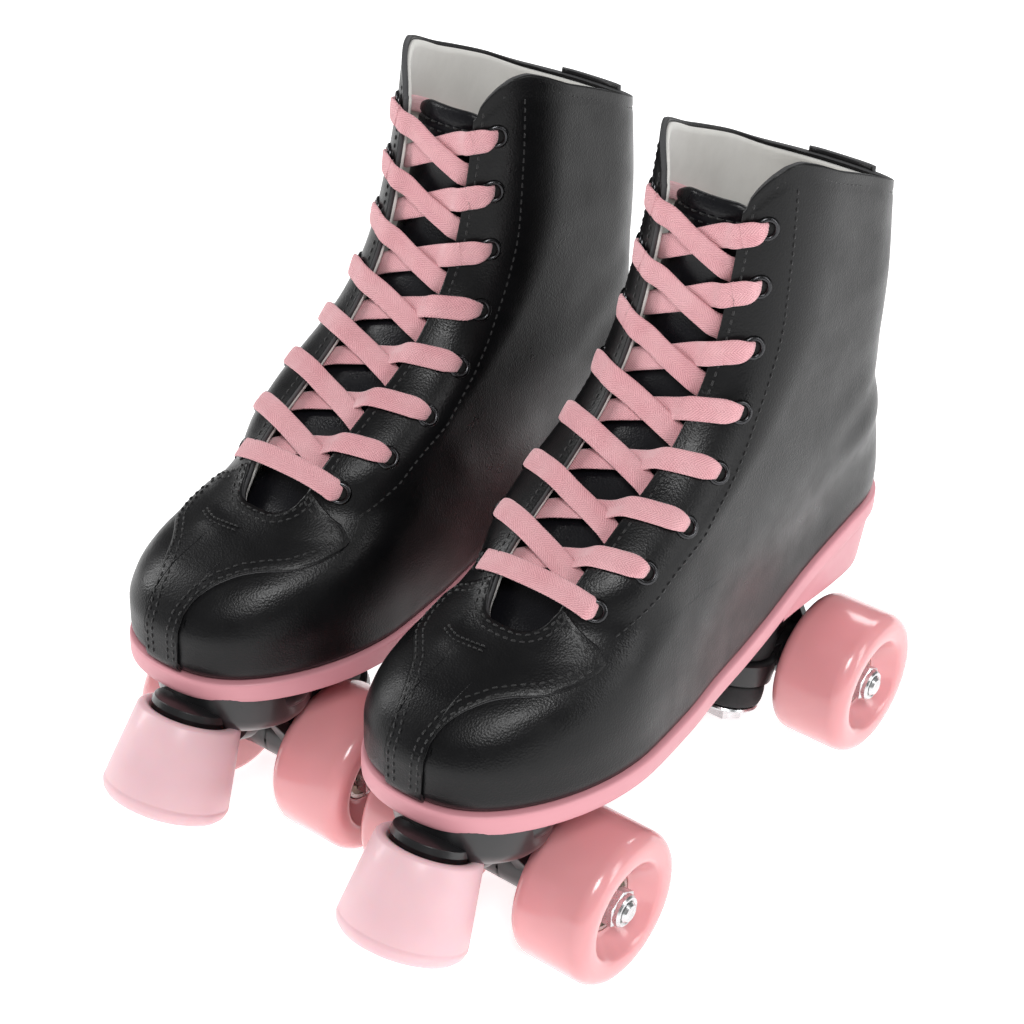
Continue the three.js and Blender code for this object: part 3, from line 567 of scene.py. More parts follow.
def wrinkle(turn, level):
    """Shallow folds where the foot bends and behind the ankle."""
    point = outer_skin(turn, level)
    y, z = point[..., 1], point[..., 2]
    ankle = np.exp(-((y - 165) / 26) ** 2 - ((z - 150) / 22) ** 2)
    instep = np.exp(-((y - 52) / 24) ** 2 - ((z - 128) / 20) ** 2)
    folds = 0.55 * ankle * np.sin((z - 0.5 * y) / 4.6) + 0.4 * instep * np.sin((y + 0.6 * z) / 5.2)
    soft = 0.35 * np.sin(y / 21 + 0.7) * np.sin(z / 17 + 3 * np.sin(np.pi * turn))
    return folds + soft * ramp(95, 120, z)


def seam_groove(turn, level):
    """How far the wall is drawn in along its seams."""
    point = outer_skin(turn, level)
    y, z = point[..., 1], point[..., 2]
    sole = 0.9 * np.exp(-((level - FOOT_LEVEL) / 1.6) ** 2)
    collar = 0.35 * np.exp(-((along(COLLAR, y) - COLLAR_ROW - z) / 0.9) ** 2) * ramp(200, 230, z)
    return sole + collar


def wall_depth(turn, level):
    return seam_groove(turn, level) - wrinkle(turn, level)


def upper(side, name):
    turn, level = boot_lay(150, 1.9)
    build = Build().grid(skin(turn, level, wall_depth(turn, level)))
    piece = put(build, name, side, [LEATHER_MAT, EDGE_MAT], weld=True)
    return thicken(piece, LEATHER, rim=1)


def lining(side, name):
    turn, level = boot_lay(110, 2.6, 0.0035, 1.3)
    build = Build().grid(skin(turn, level, LEATHER + 0.15 + wall_depth(turn, level) * 0.6))
    piece = put(build, name, side, [LINING_MAT], weld=True)
    return thicken(piece, 1.3)


# Edge of the front panel: turn, level of its lower and of its upper edge.
PANEL_LOW = [(0, 83), (0.0262, 83), (0.0282, 105), (0.04, 112.4), (0.055, 115.8), (0.08, 118.2),
             (0.11, 119.1), (0.145, 119.3), (0.18, 120.6), (0.2, 122.8)]
PANEL_HIGH = [(0.068, 138.4), (0.095, 135.0), (0.125, 131.8), (0.16, 129.0), (0.2, 124.4)]
PANEL_STAND = 1.3
PANEL_TIP = 0.2


def throat_level(turn):
    """Level of the opening's edge straight above a turn near the front."""
    turn = np.abs(np.asarray(turn, float))

    def wall(level):
        y = reach(turn, level)
        return half_width(y, level) >= along(THROAT, y) - 0.01

    return halve(np.full_like(turn, 126.0), np.full_like(turn, 150.0), 26, wall)


def panel_edges(turn):
    turn = np.abs(turn)
    high = np.minimum(throat_level(turn), np.where(turn < 0.06, 150, along(PANEL_HIGH, turn)))
    return along(PANEL_LOW, turn), high


def panel(side, name):
    """The piece over the toes that reaches up to the throat and out to a point on each side."""
    out = np.concatenate([np.linspace(0, 0.0258, 9), [0.0268, 0.0276, 0.0284, 0.0295],
                          np.linspace(0.033, 0.06, 8),
                          np.linspace(0.066, PANEL_TIP - 0.004, 24), [PANEL_TIP]])
    turns = np.concatenate([-out[:0:-1], out])
    low, high = panel_edges(turns)
    low = np.minimum(low, high - 0.4)
    share = np.linspace(0, 1, 40)[:, None]
    level = low + (high - low) * share
    turn = np.broadcast_to(turns, level.shape)
    rim = np.minimum(share, 1 - share) * (high - low)
    crown = PANEL_STAND - 0.3 * np.exp(-(rim / 0.8) ** 2)
    crown = crown + bar_swell(turn, level)
    depth = wall_depth(turn, level) - crown
    piece = put(Build().grid(skin(turn, level, depth)), name, side, [LEATHER_MAT, EDGE_MAT])
    return thicken(piece, PANEL_STAND + 0.35, rim=1)


BAR = [(-0.075, 124.6), (-0.04, 124.3), (0.004, 124.9)]


def bar_swell(turn, level):
    """Soft ridge under the short stitched bar on the toe."""
    middle_turn = (BAR[0][0] + BAR[-1][0]) / 2
    length = np.exp(-((turn - middle_turn) / 0.035) ** 4)
    return 0.9 * length * np.exp(-((level - BAR[1][1] + 0.6) / 1.5) ** 2)


# ---- stitching ------------------------------------------------------------
STITCH, STITCH_GAP, THREAD = 2.3, 0.75, 0.36
PANEL_ROWS = (1.5, 3.9)          # in from the panel's edge
BAR_STITCH = {"length": 1.6, "gap": 0.3}
FLAP_EDGE_ROW = 3.2              # in from the opening's edge


def run_along(points):
    """Length of a line of points up to each of them."""
    return np.concatenate([[0], np.cumsum(np.linalg.norm(np.diff(points, axis=0), axis=1))])


def spaced(points, normals, pitch):
    """Even stations along a line of points, with their normals and directions."""
    run = run_along(points)
    count = max(int(run[-1] / pitch), 1)
    stops = (np.arange(count) + 0.5) * run[-1] / count

    def at(where, values):
        return np.stack([np.interp(where, run, values[:, k]) for k in range(3)], -1)

    place, normal = at(stops, points), at(stops, normals)
    way = at(stops + 0.5, points) - at(stops - 0.5, points)
    way /= np.linalg.norm(way, axis=1, keepdims=True) + 1e-9
    normal -= way * (normal * way).sum(1, keepdims=True)
    normal /= np.linalg.norm(normal, axis=1, keepdims=True)
    return place, normal, way


def stitch_row(build, points, normals, sink=0.05, radius=THREAD, length=STITCH, gap=STITCH_GAP):
    """Short stitches that dip into the leather at both ends."""
    for place, normal, way in zip(*spaced(points, normals, length + gap)):
        beside = np.cross(way, normal)
        rings = []
        for share in np.linspace(-1, 1, 7):
            bow = math.sqrt(max(1 - share * share, 0))
            height = radius * (1.5 * bow - 1) - sink
            middle_point = place + way * (share * length / 2) + normal * height
            angle = 2 * np.pi * np.arange(6) / 6
            thick = radius * (0.35 + 0.65 * bow)
            rings.append(middle_point + thick * (np.cos(angle)[:, None] * beside
                                                 + np.sin(angle)[:, None] * normal))
        build.rings(rings)


def skin_row(build, turn, level, stand, **settings):
    depth = wall_depth(turn, level) - stand
    stitch_row(build, skin(turn, level, depth), skin_normal(turn, level), **settings)


def dense(pairs, count, signs=1):
    """Resamples (turn, level) pairs along the skin."""
    pairs = np.asarray(pairs, float) * (signs, 1)
    points = outer_skin(pairs[:, 0], pairs[:, 1])
    run = run_along(points)
    stops = np.linspace(0, run[-1], count)
    return np.interp(stops, run, pairs[:, 0]), np.interp(stops, run, pairs[:, 1])


def panel_stitches(build):
    low = [(0.0262, 84.5), (0.0272, 98)] + PANEL_LOW[2:-1] + [(PANEL_TIP, 123.6)]
    high = [(PANEL_TIP, 123.6)] + PANEL_HIGH[-2::-1]
    arch_turns = np.linspace(0.066, -0.066, 41)
    arch = np.stack([arch_turns, panel_edges(arch_turns)[1]], -1)
    for sign in (1, -1):
        for line in (low, high):
            turn, level = dense(line, 90, sign)
            for inset in PANEL_ROWS:
                moved = offset_line(turn, level, -sign * inset)
                skin_row(build, moved[0][3:-3], moved[1][3:-3], PANEL_STAND)
    turn, level = dense(arch, 60)
    for inset in PANEL_ROWS:
        moved = offset_line(turn, level, -inset)
        skin_row(build, *moved, PANEL_STAND)
    bar = dense(BAR, 12)
    skin_row(build, *bar, PANEL_STAND + 0.85, **BAR_STITCH)
    skin_row(build, *offset_line(*bar, 1.7), PANEL_STAND + 0.6, **BAR_STITCH)


# Second row of stitches beside the eyelets, (y, z) from the toe end up.
FLAP_ROW = [(9.5, 131), (26.6, 139.5), (50.6, 153.5), (67.2, 167.6), (79.6, 183), (87.5, 198),
            (92, 213), (94, 232), (95.5, 262)]


def flap_stitches(build):
    for sign in (1, -1):
        row = [(float(turn_at(sign, y, z)), z) for y, z in FLAP_ROW]
        skin_row(build, *dense(row, 140), 0.0)
        levels = np.linspace(139, 258, 120)
        edge = throat_turn(levels) * sign
        moved = offset_line(edge, levels, sign * FLAP_EDGE_ROW)
        skin_row(build, *moved, 0.0)


def collar_stitches(build):
    turn = np.linspace(0.2, 1.8, 300)
    level = collar_level(turn, np.full_like(turn, STRETCH_TO), COLLAR_ROW)
    kept = outer_skin(turn, level)[:, 1] > 84
    skin_row(build, turn[kept], level[kept], -0.25)


def stitches(side, name):
    build = Build()
    panel_stitches(build)
    flap_stitches(build)
    collar_stitches(build)
    return put(build, name, side, [THREAD_MAT])


# ---- tongue, eyelets, strap -----------------------------------------------
TONGUE_LEVELS = (117.0, 254.0)
TONGUE_REACH = 0.205
TONGUE_FRONT, TONGUE_BACK, TONGUE_ROW = 9.3, 10.4, 7.7    # under the boot's skin
TONGUE_SEAMS = (0.955, 0.935)    # shares of its height


def tongue(side, name):
    share = np.linspace(0, 1, 110)[:, None]
    low, high = TONGUE_LEVELS
    across = np.linspace(-1, 1, 42)[None, :]
    widening = 0.6 + 0.4 * ramp(0, 0.4, share)
    narrowing = 1 - 0.45 * ramp(TONGUE_SEAMS[0], 1.02, share) ** 2
    turn = across * (TONGUE_REACH * widening * narrowing)
    level = low + (high - low) * share - 2.2 * across ** 4 * ramp(0.9, 1, share)
    rim = np.minimum(1 - np.abs(across), np.minimum(share, 1 - share) * 5)
    swell = 1.3 * np.clip(rim * 5, 0, 1) ** 0.5
    channel = 0.8 * np.exp(-((share - TONGUE_SEAMS[0]) / 0.006) ** 2)
    puff = 0.5 * np.cos(np.pi * across / 2) + 0.2 * np.sin(share * 60) * np.cos(across * 2)
    front = skin(turn, level, TONGUE_FRONT - swell - puff * ramp(0, 0.1, 1 - share) + channel)
    back = skin(turn, level, TONGUE_BACK + 0.9 * np.clip(rim * 5, 0, 1) ** 0.5)
    build = Build().grid(front).grid(back, 1, flip=True)
    rows, cols = front.shape[:2]
    total = rows * cols
    loop = list(range(cols)) + [i * cols + cols - 1 for i in range(1, rows)]
    loop += [(rows - 1) * cols + j for j in range(cols - 2, -1, -1)]
    loop += [i * cols for i in range(rows - 2, 0, -1)]
    for a, b in zip(loop, loop[1:] + loop[:1]):
        build.faces.append((b, a, a + total, b + total))
        build.slots.append(0)
    piece = put(build, name, side, [TONGUE_MAT, LINING_MAT])
    return piece


def tongue_stitches(side, name):
    build = Build()
    across = np.linspace(-0.13, 0.13, 60)
    low, high = TONGUE_LEVELS
    for share in TONGUE_SEAMS:
        level = np.full_like(across, low + (high - low) * share)
        stitch_row(build, skin(across, level, TONGUE_ROW), skin_normal(across, level))
    return put(build, name, side, [THREAD_MAT])


EYELET_OUTER, EYELET_INNER = 4.3, 2.5


def eyelets(side, name):
    build = Build()
    profile = [(-1.0, EYELET_OUTER), (0.15, EYELET_OUTER), (0.7, EYELET_OUTER - 0.35),
               (0.95, EYELET_OUTER - 1.0), (0.85, EYELET_INNER + 0.3), (0.4, EYELET_INNER),
               (-1.0, EYELET_INNER - 0.1)]
    for y, z in EYELETS:
        for sign in (1, -1):
            turn = turn_at(sign, y, z)
            place, normal = skin(turn, z, wall_depth(turn, z)), skin_normal(turn, z)
            build.lathe(profile, place, normal, 0, 28, close=True)
            # Dark plug in the eyelet's barrel: painted shade standing in for the hole's darkness.
            build.lathe([(-0.6, 2.6), (0.12, 2.6)], place, normal, 1, 20)
    return put(build, name, side, [EYELET_MAT, EYELET_SHADE_MAT])


STRAP_HALF, STRAP_FOOT = 0.075, 84.0


def back_strap(side, name):
    """The strip over the back seam, a little proud of the collar."""
    across = np.linspace(-1, 1, 17)[None, :]
    share = np.linspace(0, 1, 90)[:, None]
    turn = 1 + across * STRAP_HALF * (0.8 + 0.35 * share)
    top = collar_level(turn[-1:], np.full_like(turn[-1:], STRETCH_TO), -1.6)
    level = STRAP_FOOT + (top - STRAP_FOOT) * share
    depth = wall_depth(turn, level) - 1.0 + 0.4 * np.abs(across) ** 6
    piece = put(Build().grid(skin(turn, level, depth)), name, side, [LEATHER_MAT, EDGE_MAT])
    return thicken(piece, 1.5, rim=1)


def strap_stitches(side, name):
    build = Build()
    level = np.linspace(88, 236, 150)
    for sign in (-1, 1):
        turn = 1 + sign * STRAP_HALF * (0.72 + 0.3 * (level - STRAP_FOOT) / 160)
        skin_row(build, turn, level, 0.85)
    return put(build, name, side, [THREAD_MAT])


def insole(side, name):
    """Padded board on the floor of the boot, under the foot."""
    turn = np.linspace(0, 2, 121)
    edge = skin(turn, np.full_like(turn, 86.0), 5.0)
    inner = spine(edge, 86)
    share = np.linspace(0, 1, 12)[:, None, None]
    sheet = inner + (edge - inner) * share
    sheet[..., 2] = 86.5 + heel_rise(sheet[..., 1]) + 1.2 * np.squeeze(share, -1) ** 2
    build = Build().grid(sheet, flip=True)
    return thicken(put(build, name, side, [LINING_MAT]), 2.0)


# ---- lace -----------------------------------------------------------------
LACE_WIDTH, LACE_THICKNESS = 8.3, 1.5
OVER = -1.05
UNDER = 5.0
CROSSING = 3.3
TAIL = [(92, 247), (108, 240), (124, 231), (140, 222)]


def row_point(row):
    i = min(int(row), len(EYELETS) - 2)
    return [EYELETS[i][k] + (EYELETS[i + 1][k] - EYELETS[i][k]) * (row - i) for k in (0, 1)]


def row_way(row):
    before, after = row_point(max(row - 0.5, 0)), row_point(min(row + 0.5, len(EYELETS) - 1))
    length = math.hypot(after[0] - before[0], after[1] - before[1])
    return (after[0] - before[0]) / length, (after[1] - before[1]) / length


def lace_point(share, row, depth):
    """Skin point level with a row of eyelets, at a signed share of the way out to them."""
    y, z = row_point(row)
    way = row_way(row)
    ahead = (-way[1], way[0])
    target = abs(share) * float(half_width(y, z))

    def wider(step):
        return half_width(y + step * ahead[0], z + step * ahead[1]) > target

    step = float(halve(0.0, 45.0, 24, wider))
    spot = (y + step * ahead[0], z + step * ahead[1])
    turn = turn_at(1 if share >= 0 else -1, *spot)
    return skin(turn, spot[1], depth)


def edge_share(row):
    y, z = row_point(row)
    return float(along(THROAT, y - 6) / half_width(y, z))


def strand(side, high, low, on_top):
    """From over the flap at `high` on one side to under the flap at `low` on the other."""
    shallow = CROSSING if on_top else UNDER
    edge = edge_share((high + low) / 2)
    steps = [(0.94, OVER - 0.7), (0.86, OVER - 0.75), (0.72, OVER), (edge + 0.1, OVER),
             (edge - 0.05, OVER + 0.7),
             (edge - 0.25, shallow - 0.6), (0, shallow), (0.2 - edge, shallow),
             (0.02 - edge, UNDER), (-0.8, UNDER), (-0.93, UNDER)]
    made = []
    for share, depth in steps:
        row = low + (high - low) * (1 + share) / 2
        width = 0.8 if abs(share) > 0.9 else 1.0
        made.append((lace_point(side * share, row, depth), row, width))
    return made


def through(side, row):
    return [(lace_point(side, row, depth), row, 0.55) for depth in (0.4, UNDER - 1.0)]


def lace_tail(side):
    turns = [float(turn_at(side, y, z)) for y, z in TAIL]
    return [(skin(t, z, UNDER), len(EYELETS) - 1, 0.7) for t, (_, z) in zip(turns, TAIL)]


def lace_stations():
    top, side = len(EYELETS) - 1, 1
    made = lace_tail(side)[::-1] + through(side, top)[::-1]
    for row in range(top, 0, -1):
        made += strand(side, row, row - 1, side < 0)
        side = -side
        made += through(side, row - 1)[::-1]
    for share in (0.93, 0.85, 0.6, 0.25, -0.25, -0.6, -0.85, -0.93):
        depth = OVER + 0.5 * (abs(share) < 0.3) - 0.7 * (abs(share) > 0.8)
        made.append((lace_point(side * share, 0, depth), 0, 1.0))
    side = -side
    for row in range(top):
        made += through(side, row)
        made += strand(-side, row + 1, row, -side < 0)[::-1]
        side = -side
    return made + through(side, top) + lace_tail(side)


def smooth_line(values, fine):
    """Catmull-Rom values at `fine` steps between stations."""
    values = np.asarray(values, float)
    padded = np.concatenate([values[:1], values, values[-1:]])
    out = []
    for i in range(len(values) - 1):
        p0, p1, p2, p3 = padded[i:i + 4]
        for t in np.arange(fine) / fine:
            out.append(0.5 * (2 * p1 + (p2 - p0) * t + (2 * p0 - 5 * p1 + 4 * p2 - p3) * t * t
                              + (3 * p1 - p0 - 3 * p2 + p3) * t ** 3))
    out.append(values[-1])
    return np.array(out)


def relax(points, rounds):
    for _ in range(rounds):
        points[1:-1] = points[1:-1] * 0.5 + (points[:-2] + points[2:]) * 0.25
    return points


LACE_SECTION, LACE_STEPS = 14, 6


def lace(side, name):
    stations = lace_stations()
    points = relax(smooth_line([s[0] for s in stations], LACE_STEPS), 2)
    across = []
    for _, row, _ in stations:
        way = row_way(row)
        across.append((0, way[0], way[1]))
    across = relax(smooth_line(across, LACE_STEPS), 6)
    width = relax(smooth_line([[s[2]] for s in stations], LACE_STEPS)[:, 0], 1)
    ahead = np.gradient(points, axis=0)
    ahead /= np.linalg.norm(ahead, axis=1, keepdims=True) + 1e-9
    across -= ahead * (across * ahead).sum(1, keepdims=True)
    across /= np.linalg.norm(across, axis=1, keepdims=True) + 1e-9
    up = np.cross(ahead, across)
    run = run_along(points)
    angle = 2 * np.pi * np.arange(LACE_SECTION) / LACE_SECTION
    flat = np.sign(np.cos(angle)) * np.abs(np.cos(angle)) ** 0.55
    thick = np.sign(np.sin(angle)) * np.abs(np.sin(angle)) ** 0.8
    half = LACE_WIDTH / 2 * width[:, None]
    depth = LACE_THICKNESS / 2 * (1 + 0.5 * (1 - width[:, None]))
    ridge = 1 - 0.16 * np.cos(flat * 2.6 * np.pi) ** 2 * np.abs(thick)
    bend = 0.35 * np.sin(run / 9.1)[:, None]
    rings = (points[:, None] + across[:, None] * (half * flat)[..., None]
             + up[:, None] * (depth * thick * ridge + bend * flat ** 2 * 0.4)[..., None])
    uvs = np.stack([np.broadcast_to(run[:, None], rings.shape[:2]),
                    (half * flat)], -1)
    build = Build()
    build.grid(rings, 0, close_v=True, uvs=uvs)
    for first in (0, (len(run) - 1) * LACE_SECTION):
        ring = tuple(range(first, first + LACE_SECTION))
        build.faces.append(ring[::-1] if first == 0 else ring)
        build.slots.append(0)
    return put(build, name, side, [LACE_MAT])


# ---- sole and heel --------------------------------------------------------
SOLE_TURNS = np.linspace(0, 2, 260, endpoint=False)
HEEL_FRONT, HEEL_LEAN, HEEL_BREAST_BOW, HEEL_BREAST_HALF = 122.0, 3.0, 6.0, 30.0
HEEL_TAPER, HEEL_STEPS = 2.6, 9


def sole_line(height, grow):
    """The boot's outline at the sole, grown outwards, at height(y)."""
    turn = SOLE_TURNS + 0.03 * np.sin(2 * np.pi * SOLE_TURNS) * -1
    edge = skin(turn, np.full_like(turn, SOLE_TOP + 2), -grow)
    edge[:, 2] = height(edge[:, 1])
    return edge


def outsole(side, name):
    under = SOLE_TOP - SOLE_THICKNESS
    stations = [(0, -3.0), (0, 0.3), (0.25, 0.95), (0.8, 1.3), (2.4, 1.4), (4.0, 1.4), (5.6, 1.4),
                (7.2, 1.35), (7.7, 1.1), (8.0, 0.5), (8.0, -1.5)]
    rings = [sole_line(lambda y, up=up: under + up + heel_rise(y), grow) for up, grow in stations]
    build = Build()
    build.rings(rings, caps=False)
    for ring, flip in ((rings[0], False), (rings[-1], True)):
        inner = spine(ring, 84)
        build.grid(np.stack([ring, (ring + inner) / 2, inner]), 0, close_v=True, flip=not flip)
    return put(build, name, side, [SOLE_MAT], weld=True)


def heel(side, name):
    """Block under the raised seat, with a breast curved across."""
    foot = PLATE_TOP + 0.3
    rows = []
    for share in np.linspace(0, 1, HEEL_STEPS):
        edge = sole_line(lambda y: 0 * y, HEEL_TAPER * (share - 1))
        out = np.clip(np.abs(edge[:, 0]) / HEEL_BREAST_HALF, 0, 1)
        curve = HEEL_FRONT + HEEL_LEAN * (1 - share) + HEEL_BREAST_BOW * (1 - out ** 2)
        ahead = edge[:, 1] < curve
        behind = edge[~ahead]
        inner = behind[:, 0] < behind[:, 0].mean()
        ends = [part[part[:, 1].argmin(), 0] for part in (behind[inner], behind[~inner])]
        edge[ahead, 0] = np.clip(edge[ahead, 0], *ends)
        edge[:, 1] = np.maximum(edge[:, 1], curve)
        top = SOLE_TOP - SOLE_THICKNESS + heel_rise(edge[:, 1]) - 0.2
        edge[:, 2] = foot + share * (top - foot)
        rows.append(edge)
    rings = [rows[0] + (rows[0].mean(0) - rows[0]) * (0.03, 0.015, 0)] + rows
    rings[1] = rings[1] + (0, 0, 0.7)
    build = Build()
    build.rings(rings, caps=False)
    for ring, flip in ((rings[0], True), (rings[-1], False)):
        build.grid(np.stack([ring, spine(ring, 84)]), 0, close_v=True, flip=flip)
    return put(build, name, side, [SOLE_MAT], weld=True)


# ---- plate, trucks and stop -----------------------------------------------
PLATE_THICKNESS, PLATE_HALF_WIDTH, NECK_HALF_WIDTH, PLATE_BACK = 7.5, 21.0, 22.0, 196.0
NOSE_RADIUS, NOSE_Y, PLATE_CORNER = 28.0, -18.0, 9.0
BOWL_AHEAD, BOWL_TILT = 5.5, 0.2
# Deeper and wider than the CAD plate's bowl: a front tyre cuts into it at full steer.
BOWL = [(-8.7, 27.9), (2.2, 27.9), (4.8, 27.0), (7.2, 25.0), (9.2, 22.2), (10.4, 19.6),
        (11, 16.5)]
RIB_X, RIB_WIDTH, RIB_ENDS, CROSS_RIBS = 17.2, 3.2, (44, 123), (52, 67, 83.7, 100, 115)
KINGPIN = np.array([0, 25.5, 33.0])
PIVOT = np.array([0, -19.5, 50.0])
TILT = math.radians(14)
PIN_UP = np.array([0, -math.sin(TILT), math.cos(TILT)])
PIVOT_WAY = (PIVOT - KINGPIN) / np.linalg.norm(PIVOT - KINGPIN)
RING_HALF, TOP_CUSHION, BOTTOM_CUSHION, WASHER, GAP = 5.0, 12.0, 10.0, 2.0, 0.3
STOP_TILT = math.radians(27)
STOP_AT = np.array([0, -47.9, 64.8])
STOP_WAY = np.array([0, -math.sin(STOP_TILT), -math.cos(STOP_TILT)])


def plate_outline(shrink=0.0):
    angle = np.pi + np.pi * np.arange(41) / 40
    radius = NOSE_RADIUS - shrink
    nose = np.stack([radius * np.cos(angle), NOSE_Y + radius * np.sin(angle)], -1)
    corner = np.linspace(0, np.pi / 2, 9)
    edge = PLATE_HALF_WIDTH - shrink
    right = [(NECK_HALF_WIDTH - shrink, 0), (edge, 14)]
    x, y = edge - PLATE_CORNER, PLATE_BACK - shrink - PLATE_CORNER
    right += [(x + PLATE_CORNER * math.cos(a), y + PLATE_CORNER * math.sin(a)) for a in corner]
    left = [(-x, y) for x, y in right[::-1]]
    return np.concatenate([nose, right, left])


def slab(build, outline, levels):
    """Prism with rounded edges: (z, shrink) pairs from the bottom up."""
    rings = [np.concatenate([outline(shrink), np.full((len(outline(shrink)), 1), z)], 1)
             for z, shrink in levels]
    return build.rings(rings, 0)


def screw(build, origin, axis, radius, height):
    """Round bolt head with a cross recess drawn as a small dish."""
    profile = [(-0.5, radius), (height * 0.55, radius), (height * 0.85, radius * 0.86),
               (height, radius * 0.6), (height, radius * 0.34), (height * 0.45, radius * 0.2)]
    build.lathe(profile, origin, axis, 0, 24)


def thread(start, end, radius, pitch, depth):
    """Profile of a threaded length."""
    turns = int((end - start) / pitch)
    made = []
    for i in range(turns):
        base = start + (end - start) * i / turns
        step = (end - start) / turns
        made += [(base, radius - depth), (base + step * 0.5, radius)]
    return made + [(end, radius - depth)]


def plate(side, name):
    under = PLATE_TOP - PLATE_THICKNESS
    build = Build()
    slab(build, plate_outline, [(under, 2.2), (under + 0.5, 0.9), (under + 1.8, 0.15),
                                (under + 3, 0), (PLATE_TOP - 0.6, 0), (PLATE_TOP, 0.5)])
    build.lathe(BOWL, (-1, NOSE_Y - BOWL_AHEAD, under), (0, -BOWL_TILT, -1), 0, 72)
    build.lathe([(-5, 9), (-3.6, 14.2), (-1.2, 14.6), (-0.4, 14.0), (4.6, 13.9)],
                STOP_AT, STOP_WAY, 0, 56)
    for low in (-RIB_X, RIB_X - RIB_WIDTH):
        build.box((low, RIB_ENDS[0], under - 3.4), (low + RIB_WIDTH, RIB_ENDS[1], under + 1))
    for y in CROSS_RIBS:
        build.box((-RIB_X, y - 1.3, under - 3.0), (RIB_X, y + 1.3, under + 1))
    boss = RING_HALF + TOP_CUSHION + 2 * GAP
    mount = Build()
    mount.lathe([(boss, 13.6), (boss + 0.5, 14.2), (boss + 8, 15.4), (38, 17.2)],
                KINGPIN, PIN_UP, 0, 48)
    mount.box((-12, PIVOT[1] - 8, 52.5), (12, PIVOT[1] + 7, under + 1))
    mount.lathe([(-1.5, 8.8), (-1.5, 10.4), (-2.0, 11), (-9.0, 11), (-9.5, 9)],
                PIVOT + PIVOT_WAY * 1.5, -PIVOT_WAY, 0, 36)
    mount.lathe([(2.0, 6.3), (2.0, 8.9), (-8, 8.9), (-8, 6.3)], PIVOT + PIVOT_WAY * 1.0,
                PIVOT_WAY, 1, 36, close=True)
    for part in (mount, mount.turned_about(WHEELBASE)):
        build.points += part.points
        build.faces += [tuple(i + build.count for i in face) for face in part.faces]
        build.slots += part.slots
        build.uvs += part.uvs
        build.count += part.count
    piece = put(build, name, side, [PLATE_MAT, RUBBER_MAT])
    return crisp(bevel(piece, 0.35), 40)


def plate_bolts(side, name):
    """Mounting screws under the plate and two clamping screws at the toe stop."""
    build = Build()
    under = PLATE_TOP - PLATE_THICKNESS
    for y in (58, 108, 186):
        for x in (-10, 10):
            screw(build, (x, y, under), (0, 0, -1), 3.6, 2.4)
    profile = [(-1, 3.1), (3.0, 3.1)] + thread(3.0, 8.2, 2.2, 0.8, 0.25) + [(8.6, 1.6)]
    for x in (-15, 15):
        build.lathe([(-1, 4.3), (0.3, 4.3), (0.8, 3.9), (0.8, 3.1)],
                    (x, -26, 60.2), (0, 0, -1), 0, 24)
        build.lathe(profile, (x, -26, 62.0), (0, -0.1, -1), 0, 20)
    return crisp(put(build, name, side, [STEEL_MAT]), 35)


def toe_stop(side, name):
    profile = [(5.0, 0.2), (5.0, 14.6), (0.9, 14.8), (0.3, 15.3), (0.0, 16.4), (0.0, 17.4),
               (0.35, 18.4), (1.2, 19.1), (10, 20.3), (20, 21.7), (29.2, 22.95), (29.6, 22.8),
               (30.0, 23.05), (31.2, 23.15), (33.2, 22.5), (34.8, 21.0), (35.8, 18.6),
               (36.0, 15), (36.0, 0.2)]
    build = Build().lathe(profile, STOP_AT, STOP_WAY, 0, 96)
    return crisp(put(build, name, side, [STOP_MAT]), 60)


def hanger(build):
    axle = np.array([0, 0, AXLE_Z])
    end = 17.4
    for sign in (1, -1):
        build.lathe([(-1, 10.6), (10, 10.6), (12.5, 11.0), (15.6, 11.0), (16.4, 10.4),
                     (16.5, 7.2), (end + 1.6, 6.6), (end + 2.2, 6.1), (end + 2.3, 4.4)],
                    axle, (sign, 0, 0), 0, 48)
    ring = [(-5, 8.5), (-5, 14.6), (-4.2, 15.7), (0, 16.1), (4.2, 15.7), (5, 14.6), (5, 8.5)]
    build.lathe(ring, KINGPIN, PIN_UP, 0, 56, close=True)
    start = PIVOT - PIVOT_WAY * 33
    build.lathe([(0, 8.6), (8, 8.4), (18, 7.4), (26.5, 6.0), (27.5, 5.2), (31.5, 4.9), (32.8, 4.0),
                 (33, 2.6)], start, PIVOT_WAY, 0, 36)
    gusset = [(-12.6, -3.2, 24.6), (12.6, -3.2, 24.6), (9.5, 19.0, 27.4), (-9.5, 19.0, 27.4),
              (-12.6, -3.2, 36.5), (12.6, -3.2, 36.5), (9.5, 19.0, 37.0), (-9.5, 19.0, 37.0)]
    build.add(gusset, BOX_FACES)
    for sign in (1, -1):
        fin = [(sign * 15, -9.6, 26), (sign * 15, -9.6, 34),
               (sign * 3, -15.5, 46.5), (sign * 3, -10, 36)]
        thick = [(x, y + 4.4, z + 1.8) for x, y, z in fin]
        inward = [face[::-1] for face in BOX_FACES]
        build.add(fin + thick, inward if sign > 0 else BOX_FACES)
    return build


def cushion(build, low, high):
    """Barrel of rubber between two distances up the kingpin."""
    share = np.linspace(0, 1, 15)
    outer = [(low + (high - low) * s, 12.9 + 1.15 * math.sin(math.pi * s) ** 0.6) for s in share]
    outer[0], outer[-1] = (low, 12.2), (high, 12.2)
    profile = [(low, 5.0)] + outer + [(high, 5.0)]
    return build.lathe(profile, KINGPIN, PIN_UP, 0, 48, close=True)


